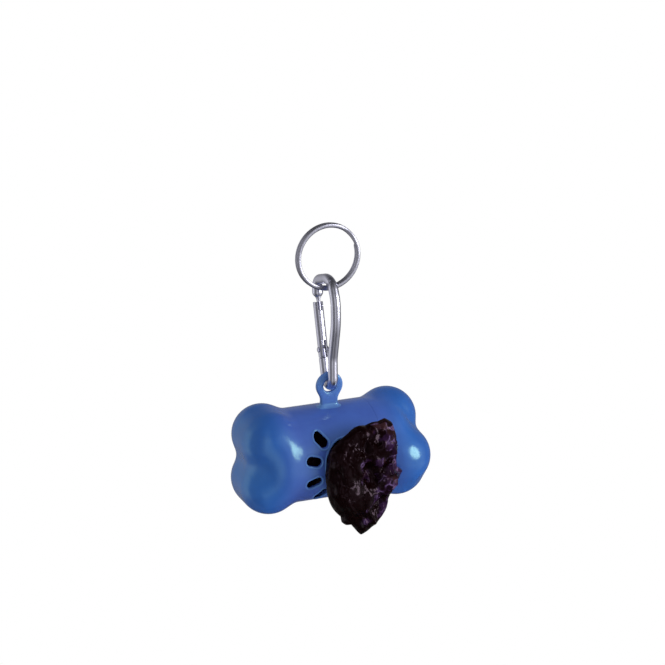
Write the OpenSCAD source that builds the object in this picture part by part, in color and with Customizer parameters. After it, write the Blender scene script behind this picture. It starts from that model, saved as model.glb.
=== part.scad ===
// Dog waste bag dispenser: a bone-shaped case for one roll of bags, hung by its eyelet
// from a small snap hook on a split ring.
// Axes: +X along the bone towards the pull-off end cap, -Y towards the paw openings, +Z up.
// The origin is the centre of the split ring, from which everything hangs.

/* [Split ring] */
// Outer diameter of the split ring
ring_od = 27.4; // [25:0.2:34]
// Width of the flat ring wire, measured along the radius
ring_band = 1.8; // [1.4:0.1:2.2]
// Thickness of one turn of the ring wire
ring_turn = 1.05; // [0.8:0.05:1.3]
// Gap between the two turns
ring_gap = 0.46; // [0.44:0.02:0.7]
// Bevel along the edges of the ring wire
ring_bevel = 0.3; // [0.2:0.05:0.35]
// Angle over which the wire steps from the front turn to the back turn
ring_step_angle = 40; // [32:2:60]
// Direction of the middle of that step, from +X towards +Z
ring_step_place = 37; // [0:1:90]

/* [Snap hook] */
// Diameter of the hook's wire, and of its gate sleeve
clip_wire = 4; // [3.6:0.1:4.2]
// Height of the bow's highest corner above the middle of the ring's wire
clip_crown = 3.9; // [3.8:0.1:4.6]
// Height of the hook, from that corner to the middle of the wire at its foot
clip_drop = 44.1; // [40:0.1:54]
// Radius of the bend at the foot, to the middle of the wire
clip_foot_r = 3.6; // [3.4:0.1:4.2]
// Reach of the nose behind the crown
clip_nose_reach = 10.7; // [10:0.1:13]
// Drop of the nose's ball end below the crown
clip_nose_drop = 8.3; // [8:0.1:10]
// Bulge of the spine in front of the crown
clip_spine_reach = 7.6; // [7:0.1:9.5]
// Drop of the corner where the bow turns down into the spine
clip_bow_drop = 7.5; // [6.5:0.1:8.5]

/* [Gate] */
// Height of the gate rivet above the middle of the wire at the foot
gate_foot_up = 13.1; // [12:0.1:15]
// Distance of the gate rivet behind the crown
gate_foot_back = 5.81; // [5.2:0.1:6.6]
// Gap between the end of the gate sleeve and the middle of the nose's ball end
gate_nose_gap = 4; // [3.5:0.1:6]
// Bore of the gate sleeve
gate_bore = 2.4; // [2:0.1:2.6]
// Diameter of the rivet at the foot of the gate
rivet_d = 1.5; // [1.2:0.1:1.6]
// Diameter of the cross pin at the free end of the gate
nose_pin_d = 1.1; // [0.9:0.1:1.2]
// Thickness of the tongues that enter the gate's slits
tongue_t = 1.2; // [0.9:0.1:1.3]
// Clearance on each side of a tongue in its slit
tongue_clearance = 0.25; // [0.15:0.05:0.3]

/* [Eyelet] */
// Outer diameter of the eyelet ring
eye_od = 11.3; // [10.5:0.1:13]
// Diameter of the eyelet hole
eye_hole = 5.4; // [5.2:0.1:6]
// Thickness of the eyelet
eye_t = 2.4; // [1.8:0.1:2.6]
// Width of the neck under the eyelet
eye_neck_w = 7.3; // [6:0.1:9]
// Height of the middle of the hole above the top of the waist
eye_stand = 8.85; // [7.5:0.05:13]
// Distance of the eyelet from the middle of the bone, along the bone
eye_shift = -0.4; // [-3:0.1:3]
// Bevel along the edges of the eyelet
eye_bevel = 0.4; // [0.2:0.05:0.5]
// Forward lean of the hanging case
case_lean = 4.5; // [0:0.5:10]

/* [Bone case] */
// Diameter of the waist
waist_d = 38.3; // [36:0.1:48]
// Length of the round core between the end faces that lie behind the lobes
core_len = 63.2; // [60:0.1:80]
// Rounding of the core's ends
core_round = 9; // [7:0.5:10]
// Distance between the lobe centres along the bone
lobe_spread = 55.4; // [50:0.1:70]
// Distance between the two lobe centres of one end
lobe_pitch = 18.8; // [16:0.1:22]
// Diameter of a lobe
lobe_d = 24.3; // [22:0.1:28]
// Straight length of a lobe between its domed faces
lobe_flat = 7.8; // [4:0.1:12]
// Wall thickness of the case
wall = 1.6; // [1.2:0.1:2]

/* [End cap] */
// Distance of the seam from the middle of the bone
seam_x = 16; // [8:0.5:17]
// Turn of the end cap on its neck, as it was last pushed on
cap_turn = -52.9; // [-90:0.1:90]
// Length of the neck that plugs into the case
neck_len = 6; // [4:0.5:8]
// Wall thickness of the neck
neck_wall = 1.2; // [0.8:0.1:1.6]
// Radial clearance of the neck in the case
neck_clearance = 0.2; // [0.15:0.05:0.3]

/* [Paw openings] */
// Width of the pad opening along the bone
pad_w = 18; // [14:0.5:20]
// Height of the pad opening
pad_h = 22.5; // [19:0.5:24]
// Distance of the pad opening from the middle of the bone
pad_x = 0.4; // [-1:0.1:2]
// Length of a toe opening
toe_len = 7; // [5:0.1:7.4]
// Width of a toe opening
toe_w = 4.2; // [3:0.1:4.6]
// Distance of the inner toes from the middle of the pad, along the bone
inner_toe_reach = 14; // [13:0.05:15]
// Height of the inner toes above and below the axis
inner_toe_z = 4.6; // [4.4:0.1:5.4]
// Distance of the outer toes from the middle of the pad, along the bone
outer_toe_reach = 9.5; // [9:0.1:11]
// Height of the outer toes above and below the axis
outer_toe_z = 11.8; // [11.6:0.1:13]
// Turn of the paw in the front of the case
paw_turn = 2.5; // [-10:0.5:10]

/* [Bag roll] */
// Length of the roll of bags
roll_len = 54; // [40:1:54]
// Diameter of the roll of bags
roll_d = 30.5; // [24:0.5:30.5]
// Outer diameter of the tube that the bags are wound on
core_tube_d = 14; // [10:0.5:18]
// Wall thickness of that tube
core_tube_wall = 0.8; // [0.5:0.1:1.2]

/* [Leading bag] */
// Width of the gathered film where it passes the pad opening
film_w = 14; // [8:0.5:15]
// Height of the gathered film where it passes the pad opening
film_h = 18; // [12:0.5:19]
// Depth of the bunch in front of the waist
bunch_depth = 11.85; // [9:0.05:16]
// Reach of the bunch's tip below the axis of the bone
bunch_tip = 28.2; // [24:0.2:34]

/* [Clearances] */
// Gap between a resting piece and its seat
seat_gap = 0.3; // [0.2:0.05:0.4]
// Gap between the leading bag and the case behind it
film_gap = 0.4; // [0.3:0.05:0.6]
// Radial clearance of a pin in a turning hole
pin_clearance = 0.05; // [0.02:0.01:0.1]

/* [Hidden] */
$fn = 48;
hull_fn = 24;
beyond = 1; // how far a cut runs past the face that it opens

// Split ring: the wire's two turns lie in front of and behind the XZ plane
ring_r = (ring_od - ring_band) / 2;
ring_layer = (ring_turn + ring_gap) / 2;
ring_coil_angle = 360 - ring_step_angle;
ring_step_tilt = atan(ring_layer / (ring_r * sin(ring_step_angle / 2)));
ring_join = 1; // degrees by which the step runs into each turn

// Snap hook: its middle line, as [back, up] places with the radius of the bend at each
crown_z = -ring_r + clip_crown;
foot_z = crown_z - clip_drop;
nose = [clip_nose_reach, crown_z - clip_nose_drop];
nose_inset = 0.95; // the ball end stands this far inside the line of the gate
gate_foot = [gate_foot_back, foot_z + gate_foot_up];
gate_lean = atan2(nose[0] + nose_inset - gate_foot[0], nose[1] - gate_foot[1]);
gate_dir = [sin(gate_lean), cos(gate_lean)];
foot_back = gate_foot[0] - gate_foot_up * tan(gate_lean);
foot_bend_back = clip_foot_r / tan(45 + gate_lean / 2);
foot_slack = 0.08; // straight wire left between the two bends of the foot
bend_thinning = 0.1; // a bend's wire is thinner by this, so that it ends inside the straights
bend_lap = 0.3; // how far a straight runs on over the bend at its end
foot_front = foot_back - foot_bend_back - clip_foot_r - foot_slack;
foot_centre = [foot_front + clip_foot_r, foot_z + clip_foot_r];
shoulder_gap = 3.5; // from the rivet to the shoulder of the wire below the gate
leg_top = gate_foot - shoulder_gap * gate_dir;
hook_line = [
    [nose, 0],
    [[clip_nose_reach + 1.1, crown_z - 3.4], 4.2],
    [[0, crown_z], 8],
    [[-clip_spine_reach + 3.2, crown_z - 1.7], 5.5],
    [[-clip_spine_reach + 0.3, crown_z - clip_bow_drop], 12],
    [[-clip_spine_reach, crown_z - 0.38 * clip_drop], 30],
    [[foot_front + 0.1, crown_z - 0.73 * clip_drop], 12],
    [[foot_front, foot_z], clip_foot_r],
    [[foot_back, foot_z], clip_foot_r],
    [leg_top, 0]];

// Gate, in its own frame: the rivet at the origin, +Z along the sleeve, +Y away from the hook
nose_offset = nose - gate_foot;
nose_up = nose_offset * gate_dir;
nose_side = nose_offset[0] * cos(gate_lean) - nose_offset[1] * sin(gate_lean);
nose_ball_d = clip_wire + 0.4;
gate_len = nose_up - gate_nose_gap;
slit_w = tongue_t + 2 * tongue_clearance;
ear_r = 3.2;
foot_tongue_r = 1.6;
foot_slit_up = 2;
foot_window_up = 3.8;
tip_slit_len = 3.7;
tip_web = 0.6; // solid metal between the bore and the slit at the tip
spring_top = gate_len - tip_slit_len - tip_web;
nose_pin_up = gate_len - 1.7;
nose_pin_back = -0.85;
hook_lip = 0.9;
tongue_end = gate_len - tip_slit_len + 0.3;
plunger_foot = foot_tongue_r + 0.15;
plunger_len = 3.3;
plunger_d = gate_bore - 0.2;
spring_wire = 0.4;
rivet_head_d = 2.2;
rivet_head_t = 0.35;
head_gap = 0.05;

// Case: its frame has the axis of the bone along X and the middle of the bone at the origin
waist_r = waist_d / 2;
core_half = core_len / 2;
lobe_r = lobe_d / 2;
eye_r = eye_od / 2;
eye_rise = waist_r + eye_stand;
eye_hole_r = eye_hole / 2;
eye_lift = sqrt(pow(clip_foot_r - clip_wire / 2 - 0.1, 2) - pow(eye_t / 2, 2)) + eye_bevel - 0.15;
eye_drop = eye_lift + eye_hole_r; // from the middle of the foot bend to the middle of the hole
eye_place = [foot_centre[0] + eye_drop * sin(case_lean), foot_centre[1] - eye_drop * cos(case_lean)];
eye_fillet = 1.5;
bore_r = waist_r - wall;
neck_r = bore_r - neck_clearance;
neck_bore_r = neck_r - neck_wall;
collar_len = 2.5; // length of the ring inside the cap that carries the neck
roll_r = roll_d / 2;
roll_drop = neck_bore_r - roll_r - seat_gap;
film_back = roll_r + seat_gap;

// Leading bag: [along the bone, ahead of the waist, up, radius] of the swells that its bunch spans
bunch_swells = [
    [1.7, 1.85, 15.9, 2.5],
    [16.7, 1.85, 14.6, 2.5],
    [17, 3.85, 5.9, 3],
    [21.2, 2.85, -3.2, 2],
    [16, 3.35, -8.9, 3],
    [12.9, 3.35, -17.8, 2.5],
    [4.6, 3.85, 1.5 - bunch_tip, 1.5],
    [-2.2, 3.85, -20.3, 2],
    [-6.6, 3.85, -9.7, 3],
    [-7.4, 4.85, -1.7, 3.5],
    [-6.1, 4.35, 4.9, 3.5],
    [-3.9, 3.35, 8.7, 2.5],
    [3.4, bunch_depth - 6, 5.1, 6],
    [1.5, bunch_depth - 5.5, -6.4, 5.5]];

// Places the hook's own plane: its first axis points back, its second up
module in_hook_plane() rotate([90, 0, 90]) children();

// Places the gate's frame on its rivet
module at_gate() translate([0, gate_foot[0], gate_foot[1]]) rotate([-gate_lean, 0, 0]) children();

// Places the case's frame where it hangs
module at_case() translate([0, eye_place[0], eye_place[1]]) rotate([case_lean, 0, 0])
    translate([-eye_shift, 0, -eye_rise]) children();

// Ring wire along an arc about Z, with bevelled edges
module ring_arc(start, sweep) {
    half_band = ring_band / 2;
    half_turn = ring_turn / 2;
    rotate([0, 0, start]) rotate_extrude(angle = sweep) translate([ring_r, 0]) polygon([
        [-half_band + ring_bevel, -half_turn], [half_band - ring_bevel, -half_turn],
        [half_band, -half_turn + ring_bevel], [half_band, half_turn - ring_bevel],
        [half_band - ring_bevel, half_turn], [-half_band + ring_bevel, half_turn],
        [-half_band, half_turn - ring_bevel], [-half_band, -half_turn + ring_bevel]]);
}

// Split ring: a front turn and a back turn, joined by one step, with its free ends beside the step
module split_ring() {
    color("silver") rotate([90, 0, 0]) rotate([0, 0, ring_step_place]) {
        translate([0, 0, ring_layer]) ring_arc(ring_step_angle / 2, ring_coil_angle);
        translate([0, 0, -ring_layer]) ring_arc(ring_step_angle / 2, ring_coil_angle);
        rotate([-ring_step_tilt, 0, 0])
            ring_arc(-ring_step_angle / 2 - ring_join, ring_step_angle + 2 * ring_join);
    }
}

// Point on the middle line of the ring wire, a given number of degrees from its front end
function ring_point(a) =
    let (step = ring_coil_angle, b = a < step ? 0 : min((a - step) / ring_step_angle, 1))
    [ring_r * cos(a), ring_r * sin(a), ring_layer * (1 - 2 * b)];

function unit(v) = v / norm(v);

// Wire round one bend of a line: the corner, its two neighbours, and the bend's radius
module wire_bend(before, corner, after, r, d) {
    a = unit(before - corner);
    b = unit(after - corner);
    half = acos(a * b) / 2;
    centre = corner + unit(a + b) * r / sin(half);
    turn = cross(a, b) > 0 ? b : a; // the bend is swept counter-clockwise from this side
    start = corner + turn * r / tan(half) - centre;
    translate([centre[0], centre[1], 0]) rotate([0, 0, atan2(start[1], start[0])])
        rotate_extrude(angle = 180 - 2 * half) translate([r, 0]) circle(d = d);
}

// How far the straight wire stops short of a corner
function bend_reach(line, i) = line[i][1] == 0 ? 0 :
    line[i][1] / tan(acos(unit(line[i - 1][0] - line[i][0]) * unit(line[i + 1][0] - line[i][0])) / 2);

// Where the straight wire at a corner ends: short of the corner, but over the end of the bend
function straight_end(line, i) = line[i][1] == 0 ? 0 : bend_reach(line, i) - bend_lap;

// Round wire along a line of [place, bend radius] rows in the XY plane
module wire_line(line, d) {
    last = len(line) - 1;
    for (i = [0:last - 1]) {
        along = unit(line[i + 1][0] - line[i][0]);
        from = line[i][0] + along * straight_end(line, i);
        to = line[i + 1][0] - along * straight_end(line, i + 1);
        translate([from[0], from[1], 0]) rotate([0, 0, atan2(along[1], along[0])])
            rotate([0, 90, 0]) cylinder(d = d, h = norm(to - from));
    }
    for (i = [1:last - 1])
        wire_bend(line[i - 1][0], line[i][0], line[i + 1][0], line[i][1], d - bend_thinning);
}

// Nose of the hook: a ball end, a wedge that thins it, and a flat tongue with the notch for the pin
module hook_nose() {
    tongue_back = 1;
    tongue_front = -2;
    wedge_low = gate_len + 0.9;
    half_t = tongue_t / 2;
    wedge_half = nose_ball_d / 2 - 0.3;
    translate([0, nose[0], nose[1]]) sphere(d = nose_ball_d);
    at_gate() {
        translate([0, nose_side, 0]) intersection() {
            translate([0, 0, wedge_low]) cylinder(r = wedge_half, h = nose_up - wedge_low);
            translate([0, clip_wire, 0]) rotate([90, 0, 0]) linear_extrude(height = 2 * clip_wire)
                polygon([[-half_t, wedge_low], [half_t, wedge_low], [wedge_half + 0.1, nose_up - 0.7],
                    [wedge_half + 0.1, nose_up], [-wedge_half - 0.1, nose_up],
                    [-wedge_half - 0.1, nose_up - 0.7]]);
        }
        difference() {
            translate([-half_t, tongue_front, tongue_end])
                cube([tongue_t, tongue_back - tongue_front, nose_up - 1 - tongue_end]);
            translate([-tongue_t, tongue_front - beyond, tongue_end + hook_lip])
                cube([2 * tongue_t, nose_pin_back + nose_pin_d / 2 + 0.1 - tongue_front + beyond,
                    nose_pin_up + nose_pin_d / 2 + seat_gap - tongue_end - hook_lip]);
        }
    }
}

// Tongue at the foot of the gate, with the hole that the rivet fills
module foot_tongue() {
    at_gate() difference() {
        union() {
            rotate([0, 90, 0]) translate([0, 0, -tongue_t / 2]) cylinder(r = foot_tongue_r, h = tongue_t);
            translate([-tongue_t / 2, -foot_tongue_r, -shoulder_gap - 0.2])
                cube([tongue_t, 2 * foot_tongue_r, shoulder_gap + 0.2]);
        }
        rotate([0, 90, 0]) cylinder(d = rivet_d, h = 2 * clip_wire, center = true);
    }
}

// Hook frame: one bent wire from its nose over the bow, down the spine and round the foot
module carabiner_frame() {
    color("gainsboro") union() {
        in_hook_plane() wire_line(hook_line, clip_wire);
        hook_nose();
        foot_tongue();
    }
}

// Gate sleeve: a tube with a slit for each tongue and round ears about the rivet
module gate_sleeve() {
    r = clip_wire / 2;
    color("lightsteelblue") at_gate() difference() {
        union() {
            cylinder(r = r, h = gate_len);
            intersection() {
                translate([0, 0, -ear_r]) cylinder(r = r, h = ear_r + beyond);
                rotate([0, 90, 0]) cylinder(r = ear_r, h = 2 * clip_wire, center = true);
            }
        }
        translate([0, 0, -ear_r - beyond]) cylinder(d = gate_bore, h = spring_top + ear_r + beyond);
        translate([-slit_w / 2, -clip_wire, -ear_r - beyond])
            cube([slit_w, 2 * clip_wire, ear_r + beyond + foot_slit_up]);
        translate([-slit_w / 2, -clip_wire, 0]) cube([slit_w, clip_wire, foot_window_up]);
        translate([-slit_w / 2, -clip_wire, gate_len - tip_slit_len])
            cube([slit_w, 2 * clip_wire, tip_slit_len + beyond]);
        rotate([0, 90, 0])
            cylinder(d = rivet_d + 2 * pin_clearance, h = 2 * clip_wire, center = true);
        translate([0, nose_pin_back, nose_pin_up]) rotate([0, 90, 0])
            cylinder(d = nose_pin_d, h = 2 * clip_wire, center = true);
    }
}

// Rivet through the gate's ears and the foot tongue, with a low head on each side
module gate_rivet() {
    head_in = clip_wire / 2 + head_gap;
    color("silver") at_gate() rotate([0, 90, 0]) {
        cylinder(d = rivet_d, h = 2 * head_in + rivet_head_t, center = true);
        for (side = [0, 180]) rotate([side, 0, 0])
            translate([0, 0, head_in]) cylinder(d = rivet_head_d, h = rivet_head_t);
    }
}

// Cross pin at the tip of the gate, which the nose's notch catches
module nose_pin() {
    half = sqrt(pow(clip_wire / 2, 2) - pow(nose_pin_back, 2)) - 0.1;
    color("silver") at_gate() translate([0, nose_pin_back, nose_pin_up]) rotate([0, 90, 0])
        cylinder(d = nose_pin_d, h = 2 * half, center = true);
}

// Gate spring inside the sleeve, as the sleeve of its coils
module gate_spring() {
    low = plunger_foot + plunger_len;
    color("dimgray") at_gate() translate([0, 0, low]) difference() {
        cylinder(d = plunger_d, h = spring_top - low);
        translate([0, 0, -beyond])
            cylinder(d = plunger_d - 2 * spring_wire, h = spring_top - low + 2 * beyond);
    }
}

// Plunger that the spring presses against the foot tongue
module gate_plunger() {
    color("gray") at_gate() translate([0, 0, plunger_foot]) cylinder(d = plunger_d, h = plunger_len);
}

// Core of the bone, a round bar with rounded ends, drawn in from its outer size
module bone_core(inset) {
    r = waist_r - inset;
    half = core_half - inset;
    round_r = core_round - inset;
    rotate([0, 90, 0]) rotate_extrude() union() {
        translate([0, -half]) square([r - round_r, 2 * half]);
        translate([0, -half + round_r]) square([r, 2 * (half - round_r)]);
        for (side = [-1, 1]) intersection() {
            translate([r - round_r, side * (half - round_r)]) circle(r = round_r);
            translate([0, -half]) square([r, 2 * half]);
        }
    }
}

// The two lobes of one end of the bone, drawn in from their outer size
module bone_lobes(side, turn, inset) {
    r = lobe_r - inset;
    rotate([turn, 0, 0]) for (up = [-1, 1])
        translate([side * lobe_spread / 2, 0, up * lobe_pitch / 2]) {
            rotate([90, 0, 0]) cylinder(r = r, h = lobe_flat, center = true);
            for (face = [-1, 1]) translate([0, face * lobe_flat / 2, 0]) sphere(r = r);
        }
}

// Everything on the cap's side of the seam (+1) or on the body's side (-1)
module seam_side(side) {
    reach = 2 * core_len;
    translate([side > 0 ? seam_x : seam_x - reach, -reach / 2, -reach / 2]) cube(reach);
}

// Hole shape with round ends, lying in the XY plane along X
module slot_shape(length, width) {
    square([length - width, width], center = true);
    for (side = [-1, 1]) translate([side * (length - width) / 2, 0]) circle(d = width);
}

// Shape of one toe opening, a reach away from the middle of the pad, pointing at it
module toe_shape(reach, up) {
    translate([-reach, up]) rotate([0, 0, -atan(up / reach)]) slot_shape(toe_len, toe_w);
}

// Paw openings, cut through the front wall: the pad that the bags come out of, and four toes
module paw_cuts() {
    translate([pad_x, -4, 0]) rotate([90, 0, 0]) linear_extrude(height = waist_d)
        rotate([0, 0, paw_turn]) {
            rotate([0, 0, 90]) slot_shape(pad_h, pad_w);
            for (up = [-1, 1]) {
                toe_shape(inner_toe_reach, up * inner_toe_z);
                toe_shape(outer_toe_reach, up * outer_toe_z);
            }
        }
}

// Eyelet on the top of the case: a bevelled ring on a neck that flares into the wall
module eyelet() {
    half = eye_t / 2;
    neck_base = bore_r + 0.3;
    neck_top = eye_rise - (eye_r + eye_hole_r) / 2 + eye_bevel;
    translate([eye_shift, 0, 0]) {
        translate([0, 0, eye_rise]) rotate([90, 0, 0]) rotate_extrude() polygon([
            [eye_hole_r, -half + eye_bevel], [eye_hole_r + eye_bevel, -half],
            [eye_r - eye_bevel, -half], [eye_r, -half + eye_bevel],
            [eye_r, half - eye_bevel], [eye_r - eye_bevel, half],
            [eye_hole_r + eye_bevel, half], [eye_hole_r, half - eye_bevel]]);
        translate([-eye_neck_w / 2, -half, neck_base]) cube([eye_neck_w, eye_t, neck_top - neck_base]);
        rotate([90, 0, 0]) linear_extrude(height = eye_t, center = true) difference() {
            translate([-eye_neck_w / 2 - eye_fillet, waist_r - 0.6])
                square([eye_neck_w + 2 * eye_fillet, eye_fillet + 0.6]);
            for (side = [-1, 1])
                translate([side * (eye_neck_w / 2 + eye_fillet), waist_r + eye_fillet])
                    circle(r = eye_fillet);
        }
    }
}

// Case body: the waist with the paw openings and the eyelet, and the left pair of lobes
module case_body() {
    color([0.22, 0.35, 0.72, 0.85]) at_case() union() {
        difference() {
            intersection() {
                union() {
                    bone_core(0);
                    bone_lobes(-1, 0, 0);
                }
                seam_side(-1);
            }
            bone_core(wall);
            bone_lobes(-1, 0, wall);
            paw_cuts();
        }
        eyelet();
    }
}

// End cap: the right pair of lobes, with a neck that plugs into the case body
module end_cap() {
    color([0.22, 0.38, 0.75, 0.85]) at_case() difference() {
        union() {
            difference() {
                intersection() {
                    union() {
                        bone_core(0);
                        bone_lobes(1, cap_turn, 0);
                    }
                    seam_side(1);
                }
                bone_core(wall);
                bone_lobes(1, cap_turn, wall);
            }
            translate([seam_x, 0, 0]) rotate([0, 90, 0]) cylinder(r = bore_r + 0.3, h = collar_len);
            translate([seam_x - neck_len, 0, 0]) rotate([0, 90, 0])
                cylinder(r = neck_r, h = neck_len + collar_len);
        }
        translate([seam_x - neck_len - beyond, 0, 0]) rotate([0, 90, 0])
            cylinder(r = neck_bore_r, h = neck_len + collar_len + 2 * beyond);
    }
}

// Tube along X about the axis of the roll
module roll_tube(length, outer_r, inner_r) {
    at_case() translate([0, 0, -roll_drop]) rotate([0, 90, 0]) difference() {
        cylinder(r = outer_r, h = length, center = true);
        cylinder(r = inner_r, h = length + 2 * beyond, center = true);
    }
}

// Wound bags
module bag_roll() color([0.12, 0.09, 0.13]) roll_tube(roll_len, roll_r, core_tube_d / 2);

// Tube that the bags are wound on
module roll_core() color("tan")
    roll_tube(roll_len, core_tube_d / 2, core_tube_d / 2 - core_tube_wall);

// Leading bag: gathered film from the roll through the pad opening, and the bunch that hangs outside
module leading_bag() {
    color([0.1, 0.07, 0.1]) at_case() union() {
        difference() {
            hull() for (swell = bunch_swells)
                translate([swell[0], -waist_r - swell[1], swell[2]]) sphere(r = swell[3], $fn = hull_fn);
            rotate([0, 90, 0])
                cylinder(r = waist_r + film_gap, h = 2 * core_len, center = true);
            bone_lobes(1, cap_turn, -film_gap);
        }
        difference() {
            translate([pad_x, 0, 0]) rotate([90, 90, 0])
                linear_extrude(height = waist_r + 3) slot_shape(film_h, film_w);
            translate([0, 0, -roll_drop]) rotate([0, 90, 0])
                cylinder(r = film_back, h = 2 * core_len, center = true);
        }
    }
}

// Least gap of the ring wire to itself, past a third of a turn along the wire
ring_gaps = [for (a = [0:4:ring_coil_angle], b = [a + 120:4:2 * ring_coil_angle + ring_step_angle])
    norm(ring_point(b) - ring_point(a)) - ring_turn];
echo(str("Least gap between the turns of the ring wire, mm: ", min(ring_gaps)));

split_ring();
carabiner_frame();
gate_sleeve();
gate_rivet();
nose_pin();
gate_spring();
gate_plunger();
case_body();
end_cap();
bag_roll();
roll_core();
leading_bag();
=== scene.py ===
"""A bone shaped dispenser of waste bags that hangs from a split ring by a small spring gate hook."""

import math

import bmesh
import bpy
import numpy as np
from bpy.props import FloatProperty, FloatVectorProperty, IntProperty, PointerProperty
from bpy.types import Operator, Panel, PropertyGroup
from mathutils import Matrix, Vector


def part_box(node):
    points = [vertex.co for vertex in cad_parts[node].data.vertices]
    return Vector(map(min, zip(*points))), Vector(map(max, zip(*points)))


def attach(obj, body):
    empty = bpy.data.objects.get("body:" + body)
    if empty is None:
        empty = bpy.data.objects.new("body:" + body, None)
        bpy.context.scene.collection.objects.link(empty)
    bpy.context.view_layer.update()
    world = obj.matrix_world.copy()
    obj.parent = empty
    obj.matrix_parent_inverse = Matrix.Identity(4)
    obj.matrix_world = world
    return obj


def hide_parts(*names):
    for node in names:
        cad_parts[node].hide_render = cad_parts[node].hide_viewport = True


bl_info = {
    "name": "Bone Bag Dispenser",
    "version": (1, 0, 0),
    "blender": (4, 5, 0),
    "location": "View3D > Sidebar > Dispenser",
    "description": "Builds a bone shaped bag dispenser with its hook, ring, roll and leading bag",
    "category": "Add Mesh",
}

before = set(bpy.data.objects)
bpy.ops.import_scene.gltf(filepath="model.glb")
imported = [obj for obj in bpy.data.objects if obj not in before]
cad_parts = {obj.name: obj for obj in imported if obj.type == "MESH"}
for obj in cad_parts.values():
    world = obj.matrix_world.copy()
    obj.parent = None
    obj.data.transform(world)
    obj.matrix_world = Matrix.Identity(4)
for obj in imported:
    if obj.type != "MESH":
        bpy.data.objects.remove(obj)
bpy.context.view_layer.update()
MM = 0.001
IMAGE_PIXELS = 665
HALVINGS = 26
MERGED = 0.002 * MM
CASE = ("case", "blue_case", ["case_body"])


def length(name, description, default):
    """A size in metres that is typed here in millimetres."""
    return FloatProperty(name=name, description=description, default=default * MM,
                         precision=5, unit="LENGTH", subtype="DISTANCE")


def angle(name, description, default):
    """An angle in radians that is typed here in degrees."""
    return FloatProperty(name=name, description=description, default=math.radians(default),
                         unit="ROTATION", subtype="ANGLE")


def colour(name, description, default):
    """A linear colour."""
    return FloatVectorProperty(name=name, description=description, default=default,
                               size=3, min=0, max=1, subtype="COLOR")


class BoneSizes(PropertyGroup):
    """Sizes of the hollow bone, which the case and the cap share."""

    waist_radius: length("Waist radius", "Outer radius of the bar between the lobes", 19.15)
    half_length: length("Half length", "Half the length of the bar without its lobes", 31.6)
    corner: length("Corner", "Rounding of the bar's ends", 9)
    lobe_radius: length("Lobe radius", "Radius of each of the four lobes", 12.15)
    lobe_half_flat: length("Lobe half flat", "Half the depth by which a lobe is drawn out", 3.9)
    lobe_reach: length("Lobe reach", "From the middle of the bone to the middle of a lobe", 27.7)
    lobe_rise: length("Lobe rise", "From the bone's axis to the middle of a lobe", 9.4)
    blend: length("Blend", "Width of the hollow between a lobe and the bar, above and below", 2.0)
    front_blend: length("Front blend", "Width of that hollow on the front and the back", 6.4)
    cleft: length("Cleft", "Width of the soft hollow between two lobes", 6.5)
    wall: length("Wall", "Thickness of the moulded wall", 1.6)
    seam: length("Seam", "Place of the seam along the bone", 16)
    seam_edge: length("Seam edge", "Rounding of the two edges that meet at the seam", 0.07)
    seam_gap: length("Seam gap", "Hairline between the case's edge and the cap's", 0.03)
    cap_turn: angle("Cap turn", "How far the cap's lobes are turned against the case's", -52.9)
    lean: angle("Lean", "How far the bone leans where it hangs", 4.5)
    neck_radius: length("Neck radius", "Outer radius of the neck that plugs into the case", 17.35)
    neck_bore: length("Neck bore", "Inner radius of that neck", 16.15)
    neck_length: length("Neck length", "How far the neck reaches into the case", 6)
    collar: length("Collar", "How far the neck runs on inside the cap", 2.5)


class PawSizes(PropertyGroup):
    """Sizes of the paw shaped openings."""

    pad_length: length("Pad length", "Height of the pad opening", 22.5)
    pad_width: length("Pad width", "Width of the pad opening", 18)
    toe_length: length("Toe length", "Length of a toe opening", 7)
    toe_width: length("Toe width", "Width of a toe opening", 4.2)
    inner_reach: length("Inner toe reach", "From the pad's middle to an inner toe", 14)
    inner_rise: length("Inner toe rise", "Height of an inner toe above the pad's middle", 4.6)
    outer_reach: length("Outer toe reach", "From the pad's middle to an outer toe", 9.5)
    outer_rise: length("Outer toe rise", "Height of an outer toe above the pad's middle", 11.8)
    turn: angle("Turn", "How far the paw is turned on the front wall", 2.5)
    lip: length("Lip", "Radius of the rounded lip round each opening", 0.5)
    lip_stand: length("Lip stand", "How far a lip stands out of the wall", 0.28)


class EyeletSizes(PropertyGroup):
    """Sizes of the hanging eyelet."""

    outer_radius: length("Outer radius", "Outer radius of the eyelet's ring", 5.65)
    hole_radius: length("Hole radius", "Radius of its hole", 2.7)
    thickness: length("Thickness", "Thickness of the eyelet", 2.4)
    neck_half: length("Neck half width", "Half the width of its neck", 3.65)
    stand: length("Stand", "From the top of the waist to the middle of the hole", 8.85)
    shift: length("Shift", "Place of the eyelet along the bone", -0.4)
    flare: length("Flare", "Radius of the hollow at the neck's foot", 1.6)


class RingSizes(PropertyGroup):
    """Sizes of the split ring."""

    middle_radius: length("Middle radius", "Radius to the middle of the ring's wire", 12.8)
    band: length("Band", "Width of the wire across the ring", 1.8)
    turn: length("Turn", "Thickness of one turn along the ring's axis", 1.05)
    gap: length("Gap", "Room between the two turns", 0.46)
    step_angle: angle("Step angle", "Arc over which the wire crosses from turn to turn", 40)
    step_place: angle("Step place", "Where that step lies round the ring", 37)


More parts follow.
